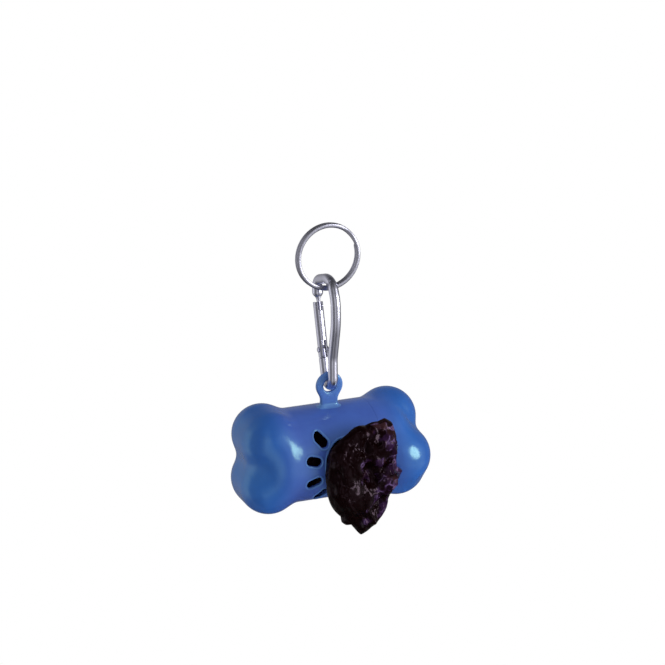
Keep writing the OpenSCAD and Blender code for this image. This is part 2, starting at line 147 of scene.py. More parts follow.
class HookSizes(PropertyGroup):
    """Sizes of the spring gate hook, in its own upright plane."""

    wire: length("Wire", "Diameter of the hook's wire", 4)
    crown_rise: length("Crown rise", "Height of the bow above the ring's lowest wire", 3.9)
    drop: length("Drop", "From the crown to the wire at the foot", 44.1)
    foot_bend: length("Foot bend", "Radius of the bends at the foot", 3.6)
    nose_reach: length("Nose reach", "How far the nose lies behind the crown", 10.7)
    nose_drop: length("Nose drop", "How far the nose lies below the crown", 8.3)
    nose_inset: length("Nose inset", "How far the nose stands inside the gate's line", 0.95)
    spine_reach: length("Spine reach", "Bulge of the spine in front of the crown", 7.6)
    bow_drop: length("Bow drop", "Drop of the corner where the bow becomes the spine", 7.5)
    foot_up: length("Foot up", "Height of the rivet above the wire at the foot", 13.1)
    nose_gap: length("Nose gap", "From the gate's tip to the middle of the nose", 4)
    shoulder: length("Shoulder", "From the rivet down to the shoulder of the wire", 3.5)
    tongue: length("Tongue", "Thickness of the tongues that the gate's slits take", 1.2)
    bore: length("Bore", "Bore of the gate's tube", 2.4)
    slit: length("Slit", "Width of the gate's slits", 1.7)
    ear: length("Ear", "Radius of the gate's round ears", 3.2)
    tip_slit: length("Tip slit", "Depth of the slit at the gate's tip", 3.7)


class BagSizes(PropertyGroup):
    """Sizes of the roll and of the leading bag."""

    roll_radius: length("Roll radius", "Outer radius of the wound bags", 15.25)
    roll_drop: length("Roll drop", "How far the roll lies below the bone's axis", 0.6)
    core_radius: length("Core radius", "Radius of the tube that the bags are wound on", 7)
    clearance: length("Clearance", "Room between the bunched film and the case", 0.45)
    depth: length("Depth", "How far the bunch swells in front of its rim", 7.8)
    flatter: length("Flatter", "Distance before the axis past which folds are pressed flatter", 28.6)
    press: length("Press", "How far pressed folds may stand in front of that distance", 2.1)
    back: length("Back", "How far the bunch swells behind its rim", 1.6)
    rim: length("Rim", "Distance of the bunch's rim in front of the bone's axis", 22.6)
    seed: IntProperty(name="Seed", description="Chooses the pattern of the folds", default=11)


class Finishes(PropertyGroup):
    """Colours of the object, some of them with painted light and shade."""

    lobe_blue: colour("Lobe blue", "Blue of the hollow lobes", (0.028, 0.127, 0.465))
    # Painted shade: this blue over the waist stands in for the dark roll seen through the wall
    waist_blue: colour("Waist blue", "Blue where the dark roll lies behind the wall", (0.064, 0.136, 0.51))
    # Painted light: mixed in for painted highlights on the lips and the eyelet's foot, and for light through
    # the thin tab
    pale_blue: colour("Pale blue", "Blue of thin edges that the light comes through", (0.15, 0.36, 0.72))
    film_black: colour("Film black", "Darkest colour of the bags", (0.0030, 0.0004, 0.0004))
    # Painted light: plum of the light coming through the thin film
    film_plum: colour("Film plum", "The bags where the light comes through", (0.022, 0.0068, 0.034))
    # Painted highlight along the wrinkles of the film
    film_crease: colour("Film crease", "Lit wrinkles in the film", (0.110, 0.066, 0.165))
    # Painted light: brown of the light coming through the film higher up, not a tint in its folds
    film_brown: colour("Film brown", "Warm tint in the folds of the bags", (0.026, 0.0098, 0.012))
    steel: colour("Steel", "Colour of the plated wire", (0.77, 0.77, 0.92))
    card: colour("Card", "Colour of the roll's cardboard tube", (0.42, 0.27, 0.14))


class StageSettings(PropertyGroup):
    """Camera and floor."""

    azimuth: angle("Azimuth", "Where the camera stands round the object", -23.3)
    elevation: angle("Elevation", "How far the camera stands above the object", 19.1)
    roll: angle("Roll", "How far the picture is turned", 0.5)
    distance: length("Distance", "From the camera to the middle of the bone", 1100)
    bone_across: FloatProperty(name="Bone across", default=328.4,
                               description="Pixel column of the middle of the bone")
    bone_down: FloatProperty(name="Bone down", default=449.1,
                             description="Pixel row of the middle of the bone")
    pixels_per_mm: FloatProperty(name="Pixels per millimetre", default=2.47,
                                 description="Size of the picture at the middle of the bone")
    floor_drop: length("Floor drop", "How far the floor lies below the ring", 300)


def settings(name):
    """The property group of that name on the scene."""
    return getattr(bpy.context.scene, "dispenser_" + name)


# Points


def circle(count):
    """Evenly spaced angles once round."""
    return np.linspace(0, 2 * np.pi, count, endpoint=False)


def xyz(*parts):
    """Points from their coordinates, each stretched to the shape that they share."""
    return np.stack(np.broadcast_arrays(*parts), -1)


def unit(vectors):
    """The same directions with length one."""
    return vectors / np.linalg.norm(vectors, axis=-1, keepdims=True)


def squared_off(wave, power):
    """A sine or cosine raised to a power with its sign kept: below 1 it makes a circle squarer."""
    return np.sign(wave) * np.abs(wave) ** power


def turn_x(points, turn):
    """Points turned about the X axis: y becomes y cos - z sin, and z becomes y sin + z cos."""
    c, s = math.cos(turn), math.sin(turn)
    x, y, z = np.moveaxis(np.asarray(points, float), -1, 0)
    return xyz(x, c * y - s * z, s * y + c * z)


def turn_flat(points, turn):
    """Points of a plane turned about its origin."""
    c, s = math.cos(turn), math.sin(turn)
    return points @ np.array([[c, s], [-s, c]])


def x_to_z(points):
    """Points turned so that what lay along Z lies along X."""
    return points[..., [2, 0, 1]]


def even_steps(line, count, closed=False):
    """The same line with evenly spaced points, interpolated along its length."""
    whole = np.vstack([line, line[:1]]) if closed else line
    along = np.concatenate([[0], np.cumsum(np.linalg.norm(np.diff(whole, axis=0), axis=1))])
    places = np.linspace(0, along[-1], count, endpoint=not closed)
    return np.stack([np.interp(places, along, whole[:, k]) for k in range(whole.shape[1])], -1)


def rounded_line(corners, radii, arc_points=24):
    """A line through corners with each inner corner replaced by an arc of its radius."""
    parts = [corners[:1]]
    for before, corner, after, radius in zip(corners, corners[1:], corners[2:], radii):
        a, b = unit(before - corner), unit(after - corner)
        half = math.acos(a @ b) / 2
        centre = corner + unit(a + b) * radius / math.sin(half)
        start = corner + a * radius / math.tan(half) - centre
        end = corner + b * radius / math.tan(half) - centre
        turn = math.pi - 2 * half
        t = np.linspace(0, 1, arc_points)[:, None]
        parts.append(centre + (np.sin((1 - t) * turn) * start + np.sin(t * turn) * end) / math.sin(turn))
    parts.append(corners[-1:])
    return np.vstack(parts)


def edge_reach(inside, shape, far):
    """Where rays leave a shape, found by halving the span: inside tells it for the reach of each ray."""
    near, far = np.zeros(shape), np.full(shape, far)
    for _ in range(HALVINGS):
        middle = (near + far) / 2
        within = inside(middle)
        near, far = np.where(within, middle, near), np.where(within, far, middle)
    return far


# Where things are, from the frame


def node_middle(node):
    """Middle of a CAD node's box."""
    low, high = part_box(node)
    return np.array((low + high) / 2, float)


def bone_middle():
    """Middle of the bone: straight up the leaning case from the axis of the roll."""
    lean = settings("bone").lean
    up = np.array([0, -math.sin(lean), math.cos(lean)])
    return node_middle("roll_core") + settings("bags").roll_drop * up


def at_case(points):
    """Points of the case's own frame, which has the bone along X, where the case hangs."""
    return turn_x(points, settings("bone").lean) + bone_middle()


def gate_line():
    """The rivet's middle, the crown's height, and the gate's lean from the rivet to just outside the nose."""
    hook = settings("hook")
    foot = node_middle("gate_rivet")
    crown = hook.crown_rise - settings("ring").middle_radius
    behind, above = hook.nose_reach + hook.nose_inset - foot[1], crown - hook.nose_drop - foot[2]
    return foot, crown, math.atan2(behind, above)


def gate_length():
    """Length of the gate's tube above the rivet, which ends short of the nose."""
    hook = settings("hook")
    foot, crown, lean = gate_line()
    behind, above = hook.nose_reach - foot[1], crown - hook.nose_drop - foot[2]
    return behind * math.sin(lean) + above * math.cos(lean) - hook.nose_gap


def at_gate(points):
    """Points of the gate's own frame, with the rivet at the origin and the sleeve along Z."""
    foot, _, lean = gate_line()
    return turn_x(points, -lean) + foot


# Meshes from grids of points


def grid_faces(rows, columns, close_rows=False):
    """Quads that join each point of a grid to its neighbours; the columns run round and close."""
    row = np.arange(rows if close_rows else rows - 1)
    i, j = np.meshgrid(row, np.arange(columns), indexing="ij")
    k, m = (i + 1) % rows, (j + 1) % columns
    return xyz(i * columns + j, i * columns + m, k * columns + m, k * columns + j).reshape(-1, 4)


def new_piece(name, grids, place=None, material=None, body=None, slot=None, replaces=(), sharp=40,
              cutters=()):
    """A piece from closed grids, each given as (points, whether its rows close), put in place.

    Without a material it is a block that cuts another piece, or the floor. A cutter is given as (block,
    operation).
    """
    points, faces, start = [], [], 0
    for grid, close_rows in grids:
        rows, columns = grid.shape[:2]
        points.append((place(grid) if place else grid).reshape(-1, 3))
        faces.append(grid_faces(rows, columns, close_rows) + start)
        start += rows * columns
    mesh = bpy.data.meshes.new(name)
    mesh.from_pydata(np.concatenate(points), [], np.concatenate(faces))
    shape = bmesh.new()
    shape.from_mesh(mesh)
    bmesh.ops.remove_doubles(shape, verts=shape.verts, dist=MERGED)
    bmesh.ops.dissolve_degenerate(shape, edges=shape.edges, dist=MERGED / 2)
    bmesh.ops.recalc_face_normals(shape, faces=shape.faces)
    shape.to_mesh(mesh)
    shape.free()
    piece = bpy.data.objects.new(name, mesh)
    bpy.context.scene.collection.objects.link(piece)
    for cutter, operation in cutters:
        cut(piece, cutter, operation)
    piece.data.shade_smooth()
    piece.data.set_sharp_from_angle(angle=math.radians(sharp))
    if material is not None:
        wear(piece, material)
        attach(piece, body)
        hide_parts(*replaces)
    return piece


def cut(piece, cutter, operation):
    """The piece's mesh after a Boolean with the cutter, which then goes."""
    boolean = piece.modifiers.new("cut", "BOOLEAN")
    boolean.object = cutter
    boolean.operation = operation
    boolean.solver = "EXACT"
    bpy.context.view_layer.update()
    depsgraph = bpy.context.evaluated_depsgraph_get()
    finished = bpy.data.meshes.new_from_object(piece.evaluated_get(depsgraph))
    piece.modifiers.clear()
    piece.data = finished
    if not finished.polygons:
        raise RuntimeError(f"the cut left nothing of {piece.name}")
    bpy.data.objects.remove(cutter)


def wear(piece, material):
    """Gives the piece that one material."""
    piece.data.materials.clear()
    piece.data.materials.append(material)


def prism(outline, middle, near, far):
    """Closed block of (depth, across, up): an outline carried from near to far, both ends filled."""
    rows = [xyz(depth, *((outline - middle) * k + middle).T)
            for depth, k in ((near, 0), (near, 1), (far, 1), (far, 0))]
    return np.array(rows), False


def sweep(line, across, half_across, half_other, sides=32, squareness=2, closed=False):
    """A tube round a line: each point carries a ring a cos u across + b sin u square to it.

    across is the direction of the first half width at each point, the second is square to it and to
    the line, and a squareness above 2 makes the ring a rounded rectangle.
    """
    ahead = unit(np.roll(line, -1, 0) - np.roll(line, 1, 0) if closed else np.gradient(line, axis=0))
    across = np.broadcast_to(across, line.shape)
    across = unit(across - ahead * np.sum(across * ahead, 1, keepdims=True))
    other = np.cross(ahead, across)
    u = circle(sides)
    c, s = squared_off(np.cos(u), 2 / squareness), squared_off(np.sin(u), 2 / squareness)
    a, b = (np.broadcast_to(half, len(line))[:, None, None] for half in (half_across, half_other))
    rings = line[:, None] + a * c[None, :, None] * across[:, None] + b * s[None, :, None] * other[:, None]
    if closed:
        return rings, True
    start, end = (np.broadcast_to(point, rings[:1].shape) for point in (line[0], line[-1]))
    return np.concatenate([start, rings, end]), False


def lathe(profile, sides):
    """A profile of (distance from the axis, height) rows turned about Z."""
    u = circle(sides)
    r, h = np.asarray(profile, float).T[..., None]
    return xyz(r * np.cos(u), r * np.sin(u), h)


# Uneven surfaces


def soft_waves(points, seed, size):
    """Smooth unevenness from about -1 to 1: a mean of sine waves in random directions."""
    chance, count = np.random.default_rng(seed), 9
    ways = chance.normal(size=(count, 3))
    ways *= chance.uniform(0.7, 1.5, (count, 1)) / np.linalg.norm(ways, axis=1, keepdims=True)
    phases = chance.uniform(0, 2 * np.pi, count)
    return 2.2 * np.sin(points @ ways.T * (2 * np.pi / size) + phases).mean(-1)


def creases(points, seed, size, count):
    """Crumpled film from -1 to 1: the mean of triangle waves in random directions, each bent a little."""
    chance = np.random.default_rng(seed)
    total = 0
    for k in range(count):
        way = chance.normal(size=3)
        way /= np.linalg.norm(way) * chance.uniform(0.7, 1.5)
        bend = 0.35 * soft_waves(points, seed * 31 + k, 2.7 * size)
        strength = 0.6 + 0.4 * soft_waves(points, seed * 57 + k, 2.2 * size)
        wave = (points @ way) / size + chance.uniform() + bend
        total = total + strength * (4 * np.abs(wave - np.floor(wave) - 0.5) - 1)
    return total / math.sqrt(count)


# The bone's surface


def soft_least(a, b, width):
    """The smaller of two distances, with a rounded hollow of that width where they are near."""
    near = np.maximum(width - np.abs(a - b), 0) / width
    return np.minimum(a, b) - near * near * width / 4


def bar_distance(points, sizes):
    """Distance to the bar along X with rounded ends, below 0 inside."""
    around = np.hypot(points[..., 1], points[..., 2]) - (sizes.waist_radius - sizes.corner)
    along = np.abs(points[..., 0]) - (sizes.half_length - sizes.corner)
    outside = np.hypot(np.maximum(around, 0), np.maximum(along, 0))
    return outside + np.minimum(np.maximum(around, along), 0) - sizes.corner


def lobe_distance(points, side, turn, sizes):
    """Distance to the pair of lobes of one end, each a sphere drawn out along Y."""
    turned = turn_x(points, -turn)
    x = turned[..., 0] - side * sizes.lobe_reach
    y = np.maximum(np.abs(turned[..., 1]) - sizes.lobe_half_flat, 0)
    above = np.sqrt(x ** 2 + y ** 2 + (turned[..., 2] - sizes.lobe_rise) ** 2)
    below = np.sqrt(x ** 2 + y ** 2 + (turned[..., 2] + sizes.lobe_rise) ** 2)
    return soft_least(above, below, sizes.cleft) - sizes.lobe_radius


def bone_distance(points):
    """Distance to the whole bone: the bar and both pairs of lobes, blended more softly to the front."""
    sizes = settings("bone")
    ahead = points[..., 1] ** 2 / (points[..., 1] ** 2 + points[..., 2] ** 2 + MM * MM)
    lobes = np.minimum(lobe_distance(points, -1, 0, sizes), lobe_distance(points, 1, sizes.cap_turn, sizes))
    return soft_least(bar_distance(points, sizes), lobes,
                      sizes.blend + (sizes.front_blend - sizes.blend) * ahead * ahead)


def bone_normal(points):
    """Outward direction of the bone's surface: how its distance grows along each axis."""
    shifts = np.eye(3) * 0.01 * MM
    return unit(np.stack([bone_distance(points + s) - bone_distance(points - s) for s in shifts], -1))


def reach_bone(starts, ways, inset=0.0):
    """Where rays from inside meet the bone's surface drawn in by inset."""
    reach = edge_reach(lambda far: bone_distance(starts + ways * far[..., None]) < -inset,
                       ways.shape[:-1], 60 * MM)
    return starts + ways * reach[..., None]


def bone_wall(side, inset, end, rows, columns):
    """Grid of the wall of one end: a fan of rays about the lobes' middle, then rays square to the axis.

    The fan turns from the bone's end to square, and the rays then walk along the axis to the seam, which
    takes the case more rows than the shorter cap.
    """
    sizes = settings("bone")
    fan = np.linspace(0, np.pi / 2, rows)
    walk_rows = int(rows * (0.9 if side > 0 else 2.3))
    walk = np.linspace(side * sizes.lobe_reach, end, walk_rows)[1:]
    starts = np.zeros((rows + len(walk), columns, 3))
    starts[:rows, :, 0] = side * sizes.lobe_reach
    starts[rows:, :, 0] = walk[:, None]
    outward = np.concatenate([np.sin(fan), np.ones(len(walk))])[:, None]
    endward = np.concatenate([side * np.cos(fan), np.zeros(len(walk))])[:, None]
    u = circle(columns)
    return reach_bone(starts, xyz(endward, outward * np.cos(u), outward * np.sin(u)), inset)


def bone_end(side, columns=256):
    """Closed hollow shell of one end: outer wall, rounded edge at the seam, inner wall."""
    sizes = settings("bone")
    edge, seam = sizes.seam_edge, sizes.seam + (sizes.seam_gap if side > 0 else 0)
    outer = bone_wall(side, 0, seam + side * edge, 52, columns)
    inner = bone_wall(side, sizes.wall, seam + side * edge, 34, columns)
    turned = []
    for quarter in (30, 60, 90):
        a = math.radians(quarter)
        row = outer[-1:].copy()
        row[..., 1:] *= 1 - edge * (1 - math.cos(a)) / sizes.waist_radius
        row[..., 0] = seam + side * edge * (1 - math.sin(a))
        turned.append(row)
    low = inner[-1:].copy()
    low[..., 0] = seam
    return np.concatenate([outer, *turned, low, inner[::-1]]), False


# Outlines of the paw


def slot_outline(long, wide, count):
    """Closed outline of a slot with round ends, in its own plane, with evenly spaced points."""
    u = circle(4 * count)
    x = np.sign(np.cos(u)) * (long - wide) / 2 + wide / 2 * np.cos(u)
    return even_steps(xyz(x, wide / 2 * np.sin(u)), count, closed=True)


def paw_outlines(grow=0.0, count=96):
    """Outlines of the pad and the four toes on the front wall, as (x, z) points of the case's frame.

    Each toe points at the middle of the pad, and the whole paw is turned a little.
    """
    paw = settings("paw")
    slots = [(paw.pad_length, paw.pad_width, 0, 0, math.pi / 2)]
    for up in (-1, 1):
        for reach, rise in ((paw.inner_reach, up * paw.inner_rise), (paw.outer_reach, up * paw.outer_rise)):
            slots.append((paw.toe_length, paw.toe_width, -reach, rise, -math.atan2(rise, reach)))
    outlines = []
    for long, wide, x, z, turn in slots:
        flat = slot_outline(long + 2 * grow, wide + 2 * grow, count)
        outlines.append(turn_flat(turn_flat(flat, turn) + (x, z), paw.turn))
    return outlines


def on_front(flat):
    """Points of the bone's front wall above (x, z) points, from rays that run forward."""
    starts = xyz(flat[..., 0], -4 * MM, flat[..., 1])
    return reach_bone(starts, np.broadcast_to([0.0, -1.0, 0.0], starts.shape))


# Materials


class Nodes:
    """A node tree with short ways to add its commonest nodes, each of which gives back a result."""

    def __init__(self, tree):
        self.tree = tree

    def fill(self, sockets, values):
        """Gives each named socket a value or joins it to a node's result."""
        for name, value in values.items():
            if isinstance(value, bpy.types.NodeSocket):
                self.tree.links.new(value, sockets[name])
            else:
                sockets[name].default_value = value

    def add(self, kind, values=(), **options):
        """A node with its options set and its sockets filled."""
        made = self.tree.nodes.new("ShaderNode" + kind)
        for option, value in options.items():
            setattr(made, option, value)
        self.fill(made.inputs, dict(values))
        return made

    def math(self, operation, *values):
        """A calculation with numbers."""
        return self.add("Math", dict(enumerate(values)), operation=operation).outputs["Value"]

    def vector(self, operation, *values):
        """A calculation with vectors, as its node."""
        return self.add("VectorMath", dict(enumerate(values)), operation=operation)

    def span(self, value, low, high, to_low=0.0, to_high=1.0, ease="LINEAR"):
        """A number that goes from to_low to to_high while the value goes from low to high."""
        values = {"Value": value, "From Min": low, "From Max": high, "To Min": to_low, "To Max": to_high}
        return self.add("MapRange", values, interpolation_type=ease).outputs["Result"]

    def noise(self, place, scale, detail):
        """A soft noise."""
        return self.add("TexNoise", {"Vector": place, "Scale": scale, "Detail": detail}).outputs["Fac"]

    def mix(self, factor, first, second, **options):
        """A mix of two colours."""
        values = {0: factor, 6: first, 7: second}
        return self.add("Mix", values, data_type="RGBA", **options).outputs[2]

    def effect(self, build, place, **values):
        """A shared effect, whose group is built the first time, as its outputs."""
        group = bpy.data.node_groups.get(build.__name__) or build(build.__name__)
        return self.add("Group", {"Position": place, **values}, node_tree=group).outputs

    def bump(self, height, distance, strength):
        """A normal that follows the height."""
        values = {"Height": height, "Strength": strength, "Distance": distance}
        return self.add("Bump", values).outputs["Normal"]


def new_group(name, given, results):
    """An empty group with a position and named sockets, as its nodes, its inputs and its outputs."""
    group = bpy.data.node_groups.new(name, "ShaderNodeTree")
    for way, sockets in (("INPUT", {"Position": "Vector", **given}), ("OUTPUT", results)):
        for socket, kind in sockets.items():
            group.interface.new_socket(socket, in_out=way, socket_type="NodeSocket" + kind)
    return Nodes(group), group.nodes.new("NodeGroupInput").outputs, group.nodes.new("NodeGroupOutput").inputs


def patchy_tint(name):
    """Colour that drifts between two tints in soft patches."""
    nodes, given, result = new_group(name, {"First": "Color", "Second": "Color", "Patches": "Float"},
                                     {"Color": "Color"})
    noise = nodes.noise(given["Position"], given["Patches"], 3.0)
    patches = nodes.span(noise, 0.35, 0.65, ease="SMOOTHSTEP")
    nodes.fill(result, {"Color": nodes.mix(patches, given["First"], given["Second"])})
    return nodes.tree


def moulded_skin(name):
    """Height and roughness of moulded plastic: slow waviness with a fine haze."""
    nodes, given, result = new_group(name, {"Waves": "Float", "Gloss": "Float"},
                                     {"Height": "Float", "Roughness": "Float"})
    waves = nodes.noise(given["Position"], given["Waves"], 2.0)
    haze = nodes.noise(given["Position"], 900.0, 3.0)
    nodes.fill(result, {"Height": nodes.math("MULTIPLY_ADD", haze, 0.04, waves),
                        "Roughness": nodes.math("MULTIPLY_ADD", haze, 0.10, given["Gloss"])})
    return nodes.tree


def drawn_wire(name):
    """Height, roughness and tint of plated wire: fine scratches, pits and clouded patches."""
    nodes, given, result = new_group(name, {"Gloss": "Float", "Bright": "Color", "Dull": "Color"},
                                     {"Height": "Float", "Roughness": "Float", "Color": "Color"})
    stretched = nodes.add("Mapping", {"Vector": given["Position"], "Scale": (5.0, 5.0, 0.6)})
    cloud = nodes.noise(given["Position"], 220.0, 4.0)
    nodes.fill(result, {"Height": nodes.noise(stretched.outputs["Vector"], 900.0, 4.0),
                        "Roughness": nodes.math("MULTIPLY_ADD", cloud, 0.10, given["Gloss"]),
                        "Color": nodes.mix(cloud, given["Bright"], given["Dull"])})
    return nodes.tree


def tilted_cells(nodes, place, scale):
    """Height and colour of cells that are each a flat facet tilted its own way, as in crumpled film."""
    cells = nodes.add("TexVoronoi", {"Vector": place, "Scale": scale, "Randomness": 1.0}).outputs
    tilt = nodes.vector("SUBTRACT", cells["Color"], (0.5, 0.5, 0.5)).outputs["Vector"]
    aside = nodes.vector("SUBTRACT", place, cells["Position"]).outputs["Vector"]
    return nodes.vector("DOT_PRODUCT", tilt, aside).outputs["Value"], cells["Color"]


def crinkled_film(name):
    """Crinkled film: facets of two sizes, bent a little by a slow noise, with broken wrinkle lines.

    The wrinkles follow the borders of the small facets, and the tone, which sets each facet's share of the
    painted light as painted shade, differs from facet to facet.
    """
    nodes, given, result = new_group(name, {"Cells": "Float"},
                                     {"Height": "Float", "Wrinkles": "Float", "Tone": "Float"})
    bent = nodes.add("TexNoise", {"Vector": given["Position"], "Scale": 260.0, "Detail": 2.0}).outputs
    place = nodes.vector("MULTIPLY_ADD", bent["Color"], (0.0016, 0.0016, 0.0016), given["Position"])
    place = place.outputs["Vector"]
    fine = nodes.math("MULTIPLY", given["Cells"], 2.3)
    large, small = tilted_cells(nodes, place, given["Cells"]), tilted_cells(nodes, place, fine)
    border = nodes.add("TexVoronoi", {"Vector": place, "Scale": fine}, feature="DISTANCE_TO_EDGE")
    thin = nodes.span(border.outputs["Distance"], 0.02, 0.13, 1.0, 0.0)
    broken = nodes.span(bent["Fac"], 0.48, 0.62)
    nodes.fill(result, {"Height": nodes.math("MULTIPLY_ADD", small[0], 0.7, large[0]),
                        "Wrinkles": nodes.math("MULTIPLY", thin, broken),
                        "Tone": nodes.span(small[1], 0.3, 0.75, 0.15, 1.0)})
    return nodes.tree


def material_of(name, dress, *values):
    """The material of that name, which dress fills the first time from its Object coordinates."""
    material = bpy.data.materials.get(name)
    if material is None:
        material = bpy.data.materials.new(name)
        material.use_nodes = True
        nodes = Nodes(material.node_tree)
        shader = material.node_tree.nodes["Principled BSDF"].inputs
        nodes.fill(shader, dress(nodes, nodes.add("TexCoord").outputs["Object"], *values))
    return material


def blue_plastic(nodes, place, pale):
    """Glossy, slightly see-through blue plastic, greener in the lobes, with painted shade of the dark roll
    seen through the wall over the waist, and pale as its share of painted light.
    """
    finishes = settings("finishes")
    # pale is the share of painted light: pale_blue mixed into both blues
    painted_light_tint = np.array(finishes.pale_blue) * pale
    waist, lobe = ((*(np.array(blue) * (1 - pale) + painted_light_tint), 1)
                   for blue in (finishes.waist_blue, finishes.lobe_blue))
    waist_end, lobe_start = 17 * MM, 31 * MM
    along = nodes.math("ABSOLUTE", nodes.add("SeparateXYZ", {"Vector": place}).outputs["X"])
    # Painted shade of the roll over the waist, fading to the lobes' own blue between waist_end and lobe_start
    lobes = nodes.span(along, waist_end, lobe_start, ease="SMOOTHSTEP")
    base = nodes.mix(lobes, waist, lobe)
    dull = nodes.mix(0.45, base, (0.75, 0.62, 0.72, 1), blend_type="MULTIPLY")
    tint = nodes.effect(patchy_tint, place, First=base, Second=dull, Patches=55.0)
    skin = nodes.effect(moulded_skin, place, Waves=78.0, Gloss=0.13)
    return {"Base Color": tint["Color"], "Roughness": skin["Roughness"],
            "Normal": nodes.bump(skin["Height"], 0.5 * MM, 0.8), "IOR": 1.49, "Transmission Weight": 0.22,
            "Specular IOR Level": 1.0, "Specular Tint": (0.55, 1.0, 0.80, 1)}


def plated_steel(nodes, place, gloss, tone):
    """Bright plated steel with a faint lilac cast, clouded and finely scratched; tone darkens each part's
    copy as painted shade.
    """
    # Painted shade: each part's copy of the steel is darkened by its own tone, most on the ring
    steel = np.array(settings("finishes").steel) * tone
    marks = nodes.effect(drawn_wire, place, Gloss=gloss, Bright=(*np.minimum(steel * 1.10, 1), 1),
                         Dull=(*(steel * 0.82), 1))
    return {"Base Color": marks["Color"], "Roughness": marks["Roughness"], "Metallic": 1.0,
            "Normal": nodes.bump(marks["Height"], 0.004 * MM, 0.3)}


def bag_film(nodes, place, cells, painted_light_from, painted_light_to):
    """Thin black film with fine crinkles, and painted light in plum and brown where light comes through it.

    The patches of painted light grow from painted_light_from to painted_light_to along X, and brown grows
    with the height.
    """
    finishes = settings("finishes")
    plum, brown, black, crease = ((*tint, 1) for tint in (finishes.film_plum, finishes.film_brown,
                                                          finishes.film_black, finishes.film_crease))
    plum_height, brown_height = -95 * MM, -65 * MM
    apart = nodes.add("SeparateXYZ", {"Vector": place}).outputs
    high = nodes.span(apart["Z"], plum_height, brown_height, -0.16, 0.07)
    hue = nodes.math("ADD", nodes.noise(place, 150.0, 2.0), high)
    lit = nodes.mix(nodes.span(hue, 0.45, 0.58, ease="SMOOTHSTEP"), plum, brown)
    # Painted light: patches where light comes through the film, more of them toward +X, plum lower and brown
    # higher
    patches = nodes.noise(place, 190.0, 3.0)
    side = nodes.span(apart["X"], painted_light_from, painted_light_to, -0.22, 0.12)
    painted_light_mask = nodes.span(nodes.math("ADD", patches, side), 0.45, 0.62, ease="SMOOTHSTEP")
    film = nodes.effect(crinkled_film, place, Cells=cells)
    # Each facet's tone sets its share of the painted light, as painted shade from facet to facet
    base = nodes.mix(nodes.math("MULTIPLY", painted_light_mask, film["Tone"]), black, lit)
    # Painted highlight: lit wrinkle lines, only inside the painted light
    creased = nodes.mix(nodes.math("MULTIPLY", film["Wrinkles"], painted_light_mask), base, crease)
    return {"Base Color": creased, "Roughness": nodes.span(patches, 0.3, 0.7, 0.13, 0.24),
            "Normal": nodes.bump(film["Height"], 1.0, 0.45), "IOR": 1.5, "Specular IOR Level": 0.14,
            "Specular Tint": (1.0, 0.70, 0.95, 1)}


def wound_card(nodes, place):
    """Greyish brown cardboard with patches and a fibrous skin."""
    card = np.array(settings("finishes").card)
    tint = nodes.effect(patchy_tint, place, First=(*card, 1), Second=(*(card * 0.6), 1), Patches=700.0)
    skin = nodes.effect(moulded_skin, place, Waves=1500.0, Gloss=0.8)
    return {"Base Color": tint["Color"], "Roughness": skin["Roughness"],
            "Normal": nodes.bump(skin["Height"], 0.15 * MM, 0.7)}


# Pieces


class BuildRing(Operator):
    """Split ring: flat wire wound twice round, with one step from turn to turn."""

    bl_idname = "dispenser.build_ring"
    bl_label = "Split ring"

    def execute(self, context):
        sizes = settings("ring")
        count = 720
        layer = (sizes.turn + sizes.gap) / 2
        start, step = sizes.step_angle / 2, sizes.step_angle
        around = np.linspace(start, 4 * np.pi - start, count)
        crossing = np.clip((around - 2 * np.pi + start) / step, 0, 1)
        crossing = crossing * crossing * (3 - 2 * crossing)
        a = around + sizes.step_place
        outward = xyz(np.cos(a), 0, np.sin(a))
        line = outward * sizes.middle_radius
        line[:, 1] = layer * (2 * crossing - 1)
        from_end = np.minimum(np.arange(count), np.arange(count)[::-1])
        blunt = np.minimum(1, 0.75 + 0.25 * from_end / 3)
        wire = sweep(line, outward, sizes.band / 2 * blunt, sizes.turn / 2 * blunt, 28, squareness=2.7)
        # The ring's steel at tone 0.60 is painted shade
        new_piece("ring_wire", [wire], None, material_of("ring_plating", plated_steel, 0.26, 0.60),
                  "ring", "ring_steel", ["split_ring"], sharp=50)
        return {"FINISHED"}


